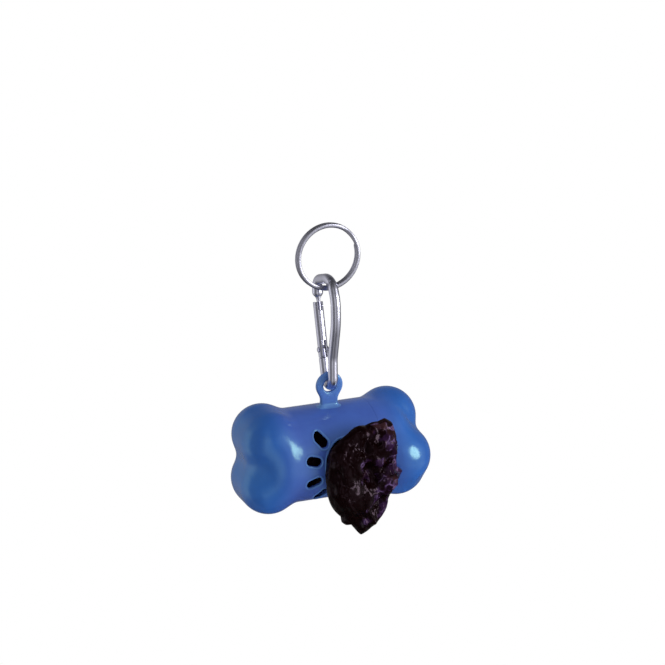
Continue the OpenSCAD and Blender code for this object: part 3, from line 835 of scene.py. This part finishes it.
def hook_line():
    """The hook's middle line with, for each point, its distance past the nose and past the shoulder.

    The line starts in the tongue inside the gate's tip, passes the nose, the bow, the spine and the
    two bends of the foot, and ends in the tongue between the gate's ears.
    """
    hook = settings("hook")
    foot, crown, lean = gate_line()
    low = crown - hook.drop
    back = foot[1] - hook.foot_up * math.tan(lean)
    front = back - hook.foot_bend / math.tan(math.pi / 4 + lean / 2) - hook.foot_bend - 0.08 * MM
    along = np.array([math.sin(lean), math.cos(lean)])
    inside = np.array([math.cos(lean), -math.sin(lean)])
    nose, pivot = np.array([hook.nose_reach, crown - hook.nose_drop]), foot[1:]
    tip = pivot + along * (gate_length() - hook.tip_slit + 0.4 * MM) - inside * 0.5 * MM
    shoulder = pivot - along * hook.shoulder
    corners = np.array([
        tip, nose - along * 1.2 * MM, nose + along * 0.6 * MM,
        (hook.nose_reach + 1.1 * MM, crown - 3.4 * MM), (0, crown),
        (-hook.spine_reach + 3.2 * MM, crown - 1.7 * MM),
        (-hook.spine_reach + 0.3 * MM, crown - hook.bow_drop), (-hook.spine_reach, crown - 0.38 * hook.drop),
        (front + 0.1 * MM, crown - 0.73 * hook.drop),
        (front, low), (back, low), shoulder, pivot + along * 1.6 * MM])
    radii = np.array([2, 1.5, 4.2, 8, 5.5, 12, 30, 12, hook.foot_bend / MM, hook.foot_bend / MM, 30]) * MM
    flat = even_steps(rounded_line(corners, radii), 1100)
    step = np.linalg.norm(flat[1] - flat[0])
    first_part, last_part = slice(0, 200), slice(700, None)
    at_nose = np.argmin(np.linalg.norm(flat[first_part] - nose, axis=1))
    at_shoulder = last_part.start + np.argmin(np.linalg.norm(flat[last_part] - shoulder, axis=1))
    count = np.arange(len(flat))
    return xyz(0, flat[:, 0], flat[:, 1]), (count - at_nose) * step, (count - at_shoulder) * step


class BuildHook(Operator):
    """Hook frame: one wire from the flat tongue at its nose over the bow to the tongue at its foot.

    Its half widths follow a ball at the nose, a taper before it, and a shoulder at the last tongue.
    """

    bl_idname = "dispenser.build_hook"
    bl_label = "Hook frame"

    def execute(self, context):
        line, from_nose, past = hook_line()
        sizes = settings("hook")
        half, tongue, tongue_depth = sizes.wire / 2, sizes.tongue / 2, 1.35 * MM
        ball_radius, swell_reach = half + 0.2 * MM, 1.6 * MM
        taper_start, taper_reach, thin_growth, deep_growth = -3.6 * MM, 2.3 * MM, 0.9 * MM, 0.3 * MM
        shoulder_reach, shoulder_cut, end_reach = 0.35 * MM, 0.4 * MM, 1.6 * MM
        ball = np.sqrt(np.maximum(ball_radius ** 2 - from_nose ** 2, 0))
        swell = half + (ball_radius - half) * np.exp(-(from_nose / swell_reach) ** 2)
        taper = np.clip((from_nose - taper_start) / taper_reach, 0, 1) ** 1.5
        thin = np.maximum(ball, tongue + taper * thin_growth)
        deep = np.maximum(ball, tongue_depth + taper * deep_growth)
        shoulder = np.clip(past / shoulder_reach, 0, 1)
        round_end = np.sqrt(1 - np.clip((past - sizes.shoulder) / end_reach, 0, 0.999) ** 2)
        across, other = np.where(from_nose > 0, swell, thin), np.where(from_nose > 0, swell, deep)
        across = np.where(past > 0, half + (tongue - half) * shoulder, across)
        other = np.where(past > 0, (half - shoulder_cut * shoulder) * round_end, other)
        new_piece("hook_wire", [sweep(line, [1.0, 0, 0], across, other, 44)], None,
                  material_of("hook_plating", plated_steel, 0.24, 0.92), "hook", "hook_steel",
                  ["carabiner_frame"], sharp=42)
        return {"FINISHED"}


class BuildGate(Operator):
    """Gate: a slit tube with round ears, its rivet, its tip pin and the spring inside."""

    bl_idname = "dispenser.build_gate"
    bl_label = "Gate"

    def execute(self, context):
        sizes = settings("hook")
        self.tube(sizes)
        self.pins(sizes)
        self.spring()
        return {"FINISHED"}

    def tube(self, sizes):
        """Tube between two radii, with rounded ends, cut by the slits and the ears' round outline."""
        r, bore, top, low = sizes.wire / 2, sizes.bore / 2, gate_length(), -sizes.ear
        edge, side, ear_slit, inner_slit = 0.15 * MM, 3 * MM, 2 * MM, 3.8 * MM
        heights = np.linspace(low + edge, top - edge, 90)
        rim_up = [(r - edge * 0.3, top - edge * 0.3), (r - edge, top), (bore + edge, top)]
        rim_down = [(bore + edge, low), (r - edge, low), (r - edge * 0.3, low + edge * 0.3)]
        profile = np.vstack([xyz(r, heights), rim_up, xyz(bore, heights[::-1]), rim_down])
        slits = [(low - MM, ear_slit, -side, side), (low - MM, inner_slit, -side, 0),
                 (top - sizes.tip_slit, top + MM, -side, side)]
        cutters = [(self.slit(sizes, *slit), "DIFFERENCE") for slit in slits]
        u = circle(96)
        ears = xyz(sizes.ear * np.cos(u), sizes.ear * np.sin(u) + np.where(np.sin(u) > 0, top + MM, 0))
        ears = prism(even_steps(ears, 200, closed=True), np.array([0, top / 2]), -side, side)
        cutters.append((new_piece("ear_block", [ears], at_gate), "INTERSECT"))
        new_piece("gate_tube", [(lathe(profile, 56), True)], at_gate,
                  material_of("gate_plating", plated_steel, 0.27, 0.80), "gate", "hook_steel",
                  ["gate_sleeve"], sharp=32, cutters=cutters)

    def slit(self, sizes, low, high, back, front):
        """Block that cuts a slit: a rounded rectangle carried up the gate."""
        line = xyz(0, (back + front) / 2, [low, low + (high - low) / 2, high])
        block = sweep(line, [1.0, 0, 0], sizes.slit / 2, (front - back) / 2, 24, squareness=14)
        return new_piece("slit_block", [block], at_gate)

    def pins(self, sizes):
        """Rivet and tip pin: turned profiles with low domed heads, laid across the gate."""
        steel = material_of("pin_plating", plated_steel, 0.20, 0.85)
        shank, head, dome_rise, tip_rise = 0.74 * MM, 1.1 * MM, 0.33 * MM, 0.12 * MM
        under, over = sizes.wire / 2 + 0.05 * MM, sizes.wire / 2 + 0.06 * MM
        u = np.linspace(0, np.pi / 2, 10)
        dome = xyz(head * np.cos(u), over + dome_rise * np.sin(u))
        half = np.vstack([[(shank, 0), (shank, under), (head, under)], dome])
        rivet = x_to_z(lathe(np.vstack([half[::-1], half[1:] * (1, -1)]), 40))
        new_piece("rivet_heads", [(rivet, False)], at_gate, steel, "hook", "hook_steel", ["gate_rivet"],
                  sharp=35)
        low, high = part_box("nose_pin")
        pin_half, pin_radius = (high[0] - low[0]) / 2, 0.55 * MM
        end = xyz(pin_radius * np.cos(u), pin_half - tip_rise * (1 - np.sin(u)))
        pin = x_to_z(lathe(np.vstack([end[::-1], end * (1, -1)]), 32)) + node_middle("nose_pin")
        new_piece("tip_pin", [(pin, False)], None, steel, "gate", "hook_steel", ["nose_pin"], sharp=40)

    def spring(self):
        """Spring: wire wound round the gate's axis, with its first and last turns closed up."""
        low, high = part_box("gate_spring")
        reach = np.linalg.norm(np.array(high - low)[1:])
        wire, coil, turns, seat, longest = 0.2 * MM, 0.88 * MM, 13, 5.05 * MM, 9.85 * MM
        bottom = seat + wire
        top = bottom + min(reach, longest) - 2 * wire
        t = np.linspace(0, 1, turns * 30)
        climb = t - 0.045 * np.sin(2 * np.pi * t)
        u = 2 * np.pi * turns * t
        outward = xyz(np.cos(u), np.sin(u), 0)
        line = outward * coil
        line[:, 2] = bottom + (top - bottom) * climb
        new_piece("gate_coil", [sweep(line, outward, wire, wire, 10)], at_gate,
                  material_of("spring_plating", plated_steel, 0.22, 0.8), "gate", "spring_steel",
                  ["gate_spring"], sharp=60)


class BuildCase(Operator):
    """Case: hollow left end of the bone with the paw cut through its front wall and a lip round each hole."""

    bl_idname = "dispenser.build_case"
    bl_label = "Case"

    def execute(self, context):
        cutters, inside, outside = [], -4 * MM, -30 * MM
        for outline in paw_outlines():
            block, closed = prism(outline, outline.mean(0), inside, outside)
            cutter = new_piece("paw_block", [(block[..., [1, 0, 2]], closed)], at_case)
            cutters.append((cutter, "DIFFERENCE"))
        new_piece("case_shell", [bone_end(-1)], at_case, material_of("blue_plastic", blue_plastic, 0.0),
                  *CASE, sharp=38, cutters=cutters)
        self.lips()
        return {"FINISHED"}

    def lips(self):
        """Rounded lip of each opening: a thin tube along its outline, sunk in the wall, in a paler blue that
        is a painted highlight.
        """
        paw, lips = settings("paw"), []
        for outline in paw_outlines(grow=0.55 * paw.lip, count=140):
            line = on_front(outline)
            outward = bone_normal(line)
            line = line - outward * (paw.lip - paw.lip_stand)
            lips.append(sweep(line, outward, paw.lip, paw.lip, 20, closed=True))
        # The lips' paler blue is a painted highlight on the rounded rims
        new_piece("paw_lips", lips, at_case, material_of("lip_painted_highlight", blue_plastic, 0.28), *CASE)


class BuildEyelet(Operator):
    """Eyelet: a rounded ring on a neck that flares into the top of the case."""

    bl_idname = "dispenser.build_eyelet"
    bl_label = "Eyelet"

    def execute(self, context):
        sizes = settings("eyelet")
        rise = settings("bone").waist_radius + sizes.stand
        u, v = circle(200), circle(40)
        ways = xyz(np.sin(u), np.cos(u))
        far = edge_reach(lambda reach: self.outline_distance(ways * reach[:, None], sizes) < 0,
                         len(ways), 15 * MM)
        around, through = squared_off(np.cos(v), 0.62), squared_off(np.sin(v), 0.5)
        middle, half = (far + sizes.hole_radius) / 2, (far - sizes.hole_radius) / 2
        radius = middle[:, None] + half[:, None] * around
        ring = xyz(sizes.shift + radius * ways[:, :1], sizes.thickness / 2 * through,
                   rise + radius * ways[:, 1:])
        # The tab's paler blue is painted light coming through the thin tab
        new_piece("eyelet_tab", [(ring, True)], at_case, material_of("tab_painted_light", blue_plastic, 0.3),
                  *CASE, sharp=60)
        # The foot's paler blue is a painted highlight where the hollow at the neck's foot catches the light
        new_piece("eyelet_foot", [(self.foot(sizes), False)], at_case,
                  material_of("foot_painted_highlight", blue_plastic, 0.48), *CASE, sharp=60)
        return {"FINISHED"}

    def outline_distance(self, points, sizes):
        """Distance to the eyelet's outline about its hole: a disc joined softly to an upright neck."""
        disc = np.hypot(points[:, 0], points[:, 1]) - sizes.outer_radius
        deep, blend = sizes.stand + 1.0 * MM, 1.6 * MM
        side = np.abs(points[:, 0]) - sizes.neck_half
        down = np.abs(points[:, 1] + deep / 2) - deep / 2
        return soft_least(disc, np.maximum(side, down), blend)

    def foot(self, sizes):
        """Hollow round the neck's foot: a quarter arc carried round the neck's outline onto the waist."""
        waist = settings("bone").waist_radius
        u = circle(96)
        x = squared_off(np.cos(u), 0.35) * sizes.neck_half
        y = squared_off(np.sin(u), 0.5) * sizes.thickness / 2
        outline = even_steps(xyz(x, y), 96, closed=True)
        ahead = np.roll(outline, -1, 0) - np.roll(outline, 1, 0)
        outward = unit(xyz(ahead[:, 1], -ahead[:, 0]))
        arc = np.linspace(0, np.pi / 2, 12)
        wide = sizes.flare * np.concatenate([1 - np.cos(arc), [1.0]])
        high = sizes.flare * np.concatenate([[1, 1], 1 - np.sin(arc), [-0.5, -0.5]])
        flats = [outline * 0, outline * 0.98, *(outline + outward * w for w in wide), outline * 0]
        rows = [xyz(flat[:, 0] + sizes.shift, flat[:, 1], np.sqrt(waist ** 2 - flat[:, 1] ** 2) + h)
                for flat, h in zip(flats, high)]
        return np.array(rows)


class BuildCap(Operator):
    """Cap: hollow right end of the bone with the neck that plugs into the case."""

    bl_idname = "dispenser.build_cap"
    bl_label = "End cap"

    def execute(self, context):
        sizes = settings("bone")
        edge, overlap, past_seam = 0.3 * MM, 0.2 * MM, 0.05 * MM
        start, end = sizes.seam - sizes.neck_length, sizes.seam + sizes.collar
        joint, at_seam = sizes.waist_radius - sizes.wall + overlap, sizes.seam + past_seam
        profile = [(sizes.neck_bore + edge, start), (sizes.neck_radius - edge, start),
                   (sizes.neck_radius, start + edge), (sizes.neck_radius, at_seam), (joint, at_seam),
                   (joint, end), (sizes.neck_bore, end), (sizes.neck_bore, start + edge)]
        new_piece("cap_shell", [bone_end(1), (x_to_z(lathe(profile, 128)), True)], at_case,
                  material_of("blue_plastic", blue_plastic, 0.0), "cap", "blue_case", ["end_cap"], sharp=38)
        return {"FINISHED"}


class BuildRoll(Operator):
    """Roll: film wound on its tube, with the edges of the turns standing in and out at each end."""

    bl_idname = "dispenser.build_roll"
    bl_label = "Roll of bags"

    def execute(self, context):
        sizes = settings("bags")
        low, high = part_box("bag_roll")
        half, outer = (high[0] - low[0]) / 2, sizes.roll_radius
        edge, pitch, depth = 0.3 * MM, 0.55 * MM, 0.22 * MM
        radii = np.linspace(sizes.core_radius, outer - edge, 60)[:, None]
        u = circle(160)
        winding = radii / pitch + u / (2 * np.pi)
        dip = depth * (1 - np.abs(2 * (winding - np.floor(winding)) - 1))
        face = xyz(radii * np.cos(u), radii * np.sin(u), half - dip)
        along = np.linspace(half - edge, -half + edge, 90)[:, None]
        side = xyz(outer * np.cos(u), outer * np.sin(u), along)
        dents = 0.5 + 0.5 * creases(side, sizes.seed + 5, 6 * MM, 5)
        side[..., :2] *= 1 - 0.014 * dents[..., None].clip(0, 1)
        roll = x_to_z(np.concatenate([face, side, face[::-1] * (1, 1, -1)])) + node_middle("bag_roll")
        # The roll's film carries the same painted light, spread along X from -200 mm to 400 mm
        new_piece("roll_of_bags", [(roll, True)], None, material_of("wound_film", bag_film, 300.0, -0.2, 0.4),
                  "roll", "bag_film", ["bag_roll"], sharp=50)
        wear(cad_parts["roll_core"], material_of("wound_card", wound_card))
        wear(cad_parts["gate_plunger"], material_of("pin_plating", plated_steel, 0.20, 0.85))
        return {"FINISHED"}


# Bunch of the leading bag: its rim as seen from the front, in millimetres along the bone and up,
# about a middle, and the long folds as (from, to, height, width)
BUNCH_MIDDLE = (5, -3)
BUNCH_RIM = [
    (1, 18.3), (-2, 16), (-6, 12.6), (-10, 8.7), (-10.8, 2.5), (-10.5, -5), (-9.5, -11), (-7.5, -15.5),
    (-5, -18.5), (-4, -19.5), (-3.5, -22), (-2, -23.3), (0.5, -23.5), (2, -25.5), (4.8, -28.8), (7.5, -27.5),
    (10.5, -25), (13.5, -21.5), (15.5, -18), (16.3, -14.5), (17.6, -10.5), (20, -6.3), (22.3, -3), (19.6, -1),
    (19.2, 2), (18.8, 8), (18.3, 14), (17, 18.5), (14, 20.5), (11, 19.5), (8.5, 19.5), (5.5, 18.5), (3, 18.8)]
BUNCH_FOLDS = [
    ((12, 18), (17, -9), 3.0, 1.1), ((4, 17), (9, 3), 1.8, 1.3), ((15, 16), (19, 3), 1.6, 0.9),
    ((9, 0), (17, -14), 1.8, 1.0), ((3, -12), (10, -24), 2.0, 1.2), ((-2, 14), (2, 6), 1.4, 1.3),
    ((8, -14), (15, -19), 1.6, 0.9), ((-4, -9), (3, -20), 1.2, 1.3), ((11, 9), (18, 7), 1.2, 0.8)]


class BuildBag(Operator):
    """Leading bag: a bunch of crumpled film in front of the pad, and the gathered film that feeds it."""

    bl_idname = "dispenser.build_bag"
    bl_label = "Leading bag"

    def execute(self, context):
        sizes = settings("bags")
        # The bag's painted light grows along X from -3 mm to 16 mm
        new_piece("bunched_bag", [(self.bunch(sizes), False), (self.neck(sizes), False)], at_case,
                  material_of("loose_film", bag_film, 150.0, -0.003, 0.016), "bag", "bunched_film",
                  ["leading_bag"], sharp=34)
        return {"FINISHED"}

    def bunch(self, sizes, rows=150, back_rows=45, columns=440):
        """Closed bunch: a rim drawn in to a crowned front and a flatter back, then creased.

        Front and back stand off the rim by a root of one less the squared share of the way out. The
        creases move each point along the surface's normal, the foremost are pressed flatter, and
        points too near the case move off it.
        """
        middle = np.array(BUNCH_MIDDLE)
        rim = np.array(BUNCH_RIM) - middle
        turn = np.arctan2(rim[:, 1], rim[:, 0])
        order = np.argsort(turn)
        u = np.linspace(-np.pi, np.pi, columns, endpoint=False)
        reach = np.interp(u, turn[order], np.hypot(*rim.T)[order], period=2 * np.pi) * MM
        out = np.sin(np.linspace(0, np.pi / 2, rows))
        out = np.concatenate([out, np.sin(np.linspace(np.pi / 2, 0, back_rows))[1:]])[:, None]
        front = np.arange(len(out))[:, None] < rows
        x = middle[0] * MM + out * reach * np.cos(u)
        z = middle[1] * MM + out * reach * np.sin(u)
        crown = np.sqrt(1 - out ** 2) * np.ones(columns)
        fuller = 1 + 0.16 * np.tanh((z + 2 * MM) / (14 * MM))
        y = np.where(front, -sizes.depth * fuller * crown ** 0.9, sizes.back * crown) - sizes.rim
        points = xyz(x, y, z)
        points += self.normals(points) * self.relief(points, out, sizes)[..., None]
        past = np.maximum(-points[..., 1] - sizes.flatter, 0)
        points[..., 1] += past - sizes.press * np.tanh(past / sizes.press)
        points[0], points[-1] = points[0].mean(0), points[-1].mean(0)
        for _ in range(4):
            gap = bone_distance(points) - sizes.clearance
            points += bone_normal(points) * np.maximum(-gap, 0)[..., None]
        return points

    def relief(self, points, out, sizes):
        """How far each point stands out: long folds, and creases of four sizes that fade to the rim."""
        inner = np.clip(1.6 * np.sqrt(1 - out ** 2) - 0.22, 0.05, 1)
        upright = points * (1, 1, 0.5)
        waves = ((points, 4.0, 18, 3), (upright, 3.6, 9, 3), (upright, 1.4, 4.2, 4), (points, 0.35, 2.1, 4))
        height = sum(tall * creases(place, sizes.seed + k, wide * MM, count)
                     for k, (place, tall, wide, count) in enumerate(waves))
        height *= 0.7 + 0.3 * np.tanh((points[..., 0] - 2 * MM) / (8 * MM))
        for start, end, tall, wide in BUNCH_FOLDS:
            height += tall * self.fold(points[..., [0, 2]] / MM, np.array(start), np.array(end), wide)
        height *= inner
        height = np.where(points[..., 1] < -sizes.rim, height, 0.4 * height)
        return height * MM * 0.8

    def fold(self, points, start, end, wide):
        """Sharp ridge along a line: it falls away with the distance from the line and at its ends."""
        way, (x, z) = unit(end - start), np.moveaxis(points - start, -1, 0)
        along = (x * way[0] + z * way[1]) / np.linalg.norm(end - start)
        ends = np.clip(4 * along, 0, 1) * np.clip(4 * (1 - along), 0, 1)
        return np.exp(-np.abs(x * way[1] - z * way[0]) / wide) * ends

    def normals(self, points):
        """Outward direction at each grid point, from the slopes along the rows and the columns."""
        normal = np.cross(np.gradient(points, axis=0), np.roll(points, -1, 1) - np.roll(points, 1, 1))
        normal = normal / np.maximum(np.linalg.norm(normal, axis=-1, keepdims=True), 1e-12)
        return normal * (1 if normal[len(points) // 3, 0, 1] < 0 else -1)

    def neck(self, sizes):
        """Gathered film: a fluted tube from just off the roll through the pad into the bunch."""
        v, u = np.linspace(0, 1, 40)[:, None], circle(180)
        flutes = 1 + 0.10 * np.sin(11 * u + 2 * v) + 0.05 * np.sin(23 * u - 3 * v)
        start, end = -15.85 * MM, -(sizes.rim + 2 * MM)
        aside, half_wide, half_high = 0.4 * MM, 6.0 * MM, 8.0 * MM
        waist = 1 - 0.12 * np.sin(np.pi * v)
        z = half_high * flutes * waist * np.sin(u)
        tube = xyz(aside + half_wide * flutes * waist * np.cos(u), start + (end - start) * v, z)
        roll_back = sizes.roll_radius + 0.5 * MM
        behind = -np.sqrt(np.maximum(roll_back ** 2 - (z[0] + sizes.roll_drop) ** 2, 0))
        tube[:, :, 1] += (behind - start)[None] * (1 - v) ** 2
        ends = tube[[0, -1]].mean(1, keepdims=True) + 0 * tube[[0, -1]]
        ends[0, :, 1] = start
        return np.concatenate([ends[:1], tube, ends[1:]])


# Stage


# The room that shiny surfaces mirror is the product of two strengths: one round the object, by degrees
# from the front toward +X, and one from straight below to straight above, by degrees from level
ROOM_ROUND = [(-180, 0.30), (-150, 0.55), (-112, 1.0), (-88, 0.24), (-56, 0.10), (-28, 0.80), (-2, 0.12),
              (22, 0.52), (70, 0.66), (92, 0.12), (128, 0.16), (158, 0.28), (180, 0.30)]
ROOM_UP = [(-90, 0.06), (-50, 0.2), (-24, 0.9), (15, 1.0), (40, 0.40), (65, 0.12), (90, 0.08)]


def ramp(nodes, value, stops):
    """A ramp of greys along an angle, with one stop for each pair of degrees and grey."""
    low, high = stops[0][0], stops[-1][0]
    share = nodes.span(value, math.radians(low), math.radians(high))
    made = nodes.add("ValToRGB", {"Fac": share})
    made.color_ramp.interpolation = "EASE"
    for place, grey in stops[1:-1]:
        made.color_ramp.elements.new((place - low) / (high - low))
    for element, (place, grey) in zip(made.color_ramp.elements, stops):
        element.position = (place - low) / (high - low)
        element.color = (grey, grey, grey, 1)
    return made.outputs["Color"]


def kinds_of_ray(nodes):
    """Whether a ray is glossy, and whether it comes from the camera or through the plastic."""
    rays = nodes.add("LightPath").outputs
    return rays["Is Glossy Ray"], nodes.math("MAXIMUM", rays["Is Camera Ray"], rays["Is Transmission Ray"])


def studio_world():
    """World: white where the camera looks, a graded room for shiny surfaces, plain light from above."""
    world = bpy.data.worlds.new("studio")
    world.use_nodes = True
    nodes = Nodes(world.node_tree)
    apart = nodes.add("SeparateXYZ", {"Vector": nodes.add("TexCoord").outputs["Generated"]}).outputs
    turn = nodes.math("ARCTAN2", apart["X"], nodes.math("MULTIPLY", apart["Y"], -1.0))
    above = nodes.math("ARCSINE", apart["Z"])
    room = nodes.math("MULTIPLY", ramp(nodes, turn, ROOM_ROUND), ramp(nodes, above, ROOM_UP))
    plain = nodes.span(apart["Z"], -1.0, 1.0, 0.50, 0.88)
    glossy, seen = kinds_of_ray(nodes)
    light = nodes.add("Mix", {0: glossy, 2: plain, 3: room}).outputs[0]
    strength = nodes.add("Mix", {0: seen, 2: light, 3: 1.0}).outputs[0]
    nodes.fill(world.node_tree.nodes["Background"].inputs, {"Color": (1, 1, 1, 1), "Strength": strength})
    bpy.context.scene.world = world


def pale_floor():
    """Pale floor that shows white, keeps a soft shadow under the object and isn't mirrored."""
    material = bpy.data.materials.new("pale_floor")
    material.use_nodes = True
    nodes = Nodes(material.node_tree)
    nodes.tree.nodes.remove(nodes.tree.nodes["Principled BSDF"])
    flat = nodes.vector("MULTIPLY", nodes.add("TexCoord").outputs["Object"], (1, 1, 0))
    away = nodes.vector("LENGTH", flat.outputs["Vector"]).outputs["Value"]
    glossy, seen = kinds_of_ray(nodes)
    amount = nodes.math("MULTIPLY", seen, nodes.span(away, 0.05, 0.3, 0.6, 1.0, ease="SMOOTHSTEP"))
    matt = nodes.add("BsdfDiffuse", {"Color": (0.9, 0.9, 0.9, 1)}).outputs["BSDF"]
    white = nodes.add("Emission", {"Color": (1, 1, 1, 1), "Strength": 1.0}).outputs["Emission"]
    through = nodes.add("BsdfTransparent").outputs["BSDF"]
    shown = nodes.add("MixShader", {0: amount, 1: matt, 2: white}).outputs["Shader"]
    shown = nodes.add("MixShader", {0: glossy, 1: shown, 2: through}).outputs["Shader"]
    nodes.fill(nodes.tree.nodes["Material Output"].inputs, {"Surface": shown})
    return material


def direction(azimuth, elevation):
    """Direction from the object to what stands at that angle round it and above it."""
    return np.array([math.sin(azimuth) * math.cos(elevation), -math.cos(azimuth) * math.cos(elevation),
                     math.sin(elevation)])


def soft_lamp(name, azimuth, elevation, distance, width, height, power):
    """A soft oval lamp that looks at the middle of the bone from that side and height."""
    data = bpy.data.lights.new(name, "AREA")
    data.shape = "ELLIPSE"
    data.size, data.size_y, data.energy = width, height, power
    lamp = bpy.data.objects.new(name, data)
    bpy.context.scene.collection.objects.link(lamp)
    way = Vector(direction(math.radians(azimuth), math.radians(elevation)))
    lamp.location = Vector(bone_middle()) + way * distance
    lamp.rotation_euler = way.to_track_quat("Z", "Y").to_euler()
    lamp.visible_camera = False


class BuildStage(Operator):
    """Stage: pale floor, white backdrop, a soft lamp and the camera."""

    bl_idname = "dispenser.build_stage"
    bl_label = "Stage"

    def execute(self, context):
        stage = settings("stage")
        studio_world()
        u, radii = circle(64), np.array([0, 0.3, 1, 4])[:, None]
        floor = xyz(radii * np.cos(u), radii * np.sin(u), -stage.floor_drop)
        piece = new_piece("floor", [(floor, False)])
        piece.data.materials.append(pale_floor())
        soft_lamp("key", 45, 9, distance=0.8, width=0.46, height=0.50, power=4.5)
        self.camera(context, stage)
        context.scene.view_settings.view_transform = "Standard"
        return {"FINISHED"}

    def camera(self, context, stage):
        """Camera that sees the middle of the bone at its pixel of the square picture."""
        roll = stage.roll
        back = direction(stage.azimuth, stage.elevation)
        right = np.array([math.cos(stage.azimuth), math.sin(stage.azimuth), 0])
        up = np.cross(back, right)
        c, s = math.cos(roll), math.sin(roll)
        right, up = right * c - up * s, right * s + up * c
        focal = stage.pixels_per_mm * stage.distance / MM
        aside = (stage.bone_across - IMAGE_PIXELS / 2) / focal
        below = (stage.bone_down - IMAGE_PIXELS / 2) / focal
        ahead = unit(-back - right * aside + up * below)
        up = unit(up - ahead * (up @ ahead))
        right = np.cross(ahead, up)
        data = bpy.data.cameras.new("camera")
        data.sensor_width = 36
        data.lens = data.sensor_width * focal / IMAGE_PIXELS
        camera = bpy.data.objects.new("camera", data)
        context.scene.collection.objects.link(camera)
        place = bone_middle() + back * stage.distance
        camera.matrix_world = Matrix(np.vstack([np.column_stack([right, up, -ahead, place]), [0, 0, 0, 1]]))
        context.scene.camera = camera


class DispenserPanel(Panel):
    """Buttons that build the dispenser's pieces."""

    bl_idname = "VIEW3D_PT_bone_dispenser"
    bl_label = "Bone Bag Dispenser"
    bl_space_type = "VIEW_3D"
    bl_region_type = "UI"
    bl_category = "Dispenser"

    def draw(self, context):
        for operator in OPERATORS:
            self.layout.operator(operator.bl_idname)
        for name in GROUPS:
            box = self.layout.box()
            box.label(text=name.capitalize())
            for key in GROUPS[name].__annotations__:
                box.prop(settings(name), key)


GROUPS = {"bone": BoneSizes, "paw": PawSizes, "eyelet": EyeletSizes, "ring": RingSizes, "hook": HookSizes,
          "bags": BagSizes, "finishes": Finishes, "stage": StageSettings}
OPERATORS = [BuildStage, BuildRing, BuildHook, BuildGate, BuildCase, BuildEyelet, BuildCap, BuildRoll,
             BuildBag]


def register():
    """Registers the property groups, the operators and the panel."""
    for name, group in GROUPS.items():
        bpy.utils.register_class(group)
        setattr(bpy.types.Scene, "dispenser_" + name, PointerProperty(type=group))
    for item in (*OPERATORS, DispenserPanel):
        bpy.utils.register_class(item)


def unregister():
    """Takes them out again, the last one first."""
    for item in (DispenserPanel, *OPERATORS[::-1]):
        bpy.utils.unregister_class(item)
    for name in reversed(GROUPS):
        delattr(bpy.types.Scene, "dispenser_" + name)
        bpy.utils.unregister_class(GROUPS[name])


def main():
    """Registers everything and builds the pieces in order."""
    register()
    for operator in OPERATORS:
        getattr(bpy.ops.dispenser, operator.bl_idname.split(".")[1])()


if __name__ == "__main__":
    main()
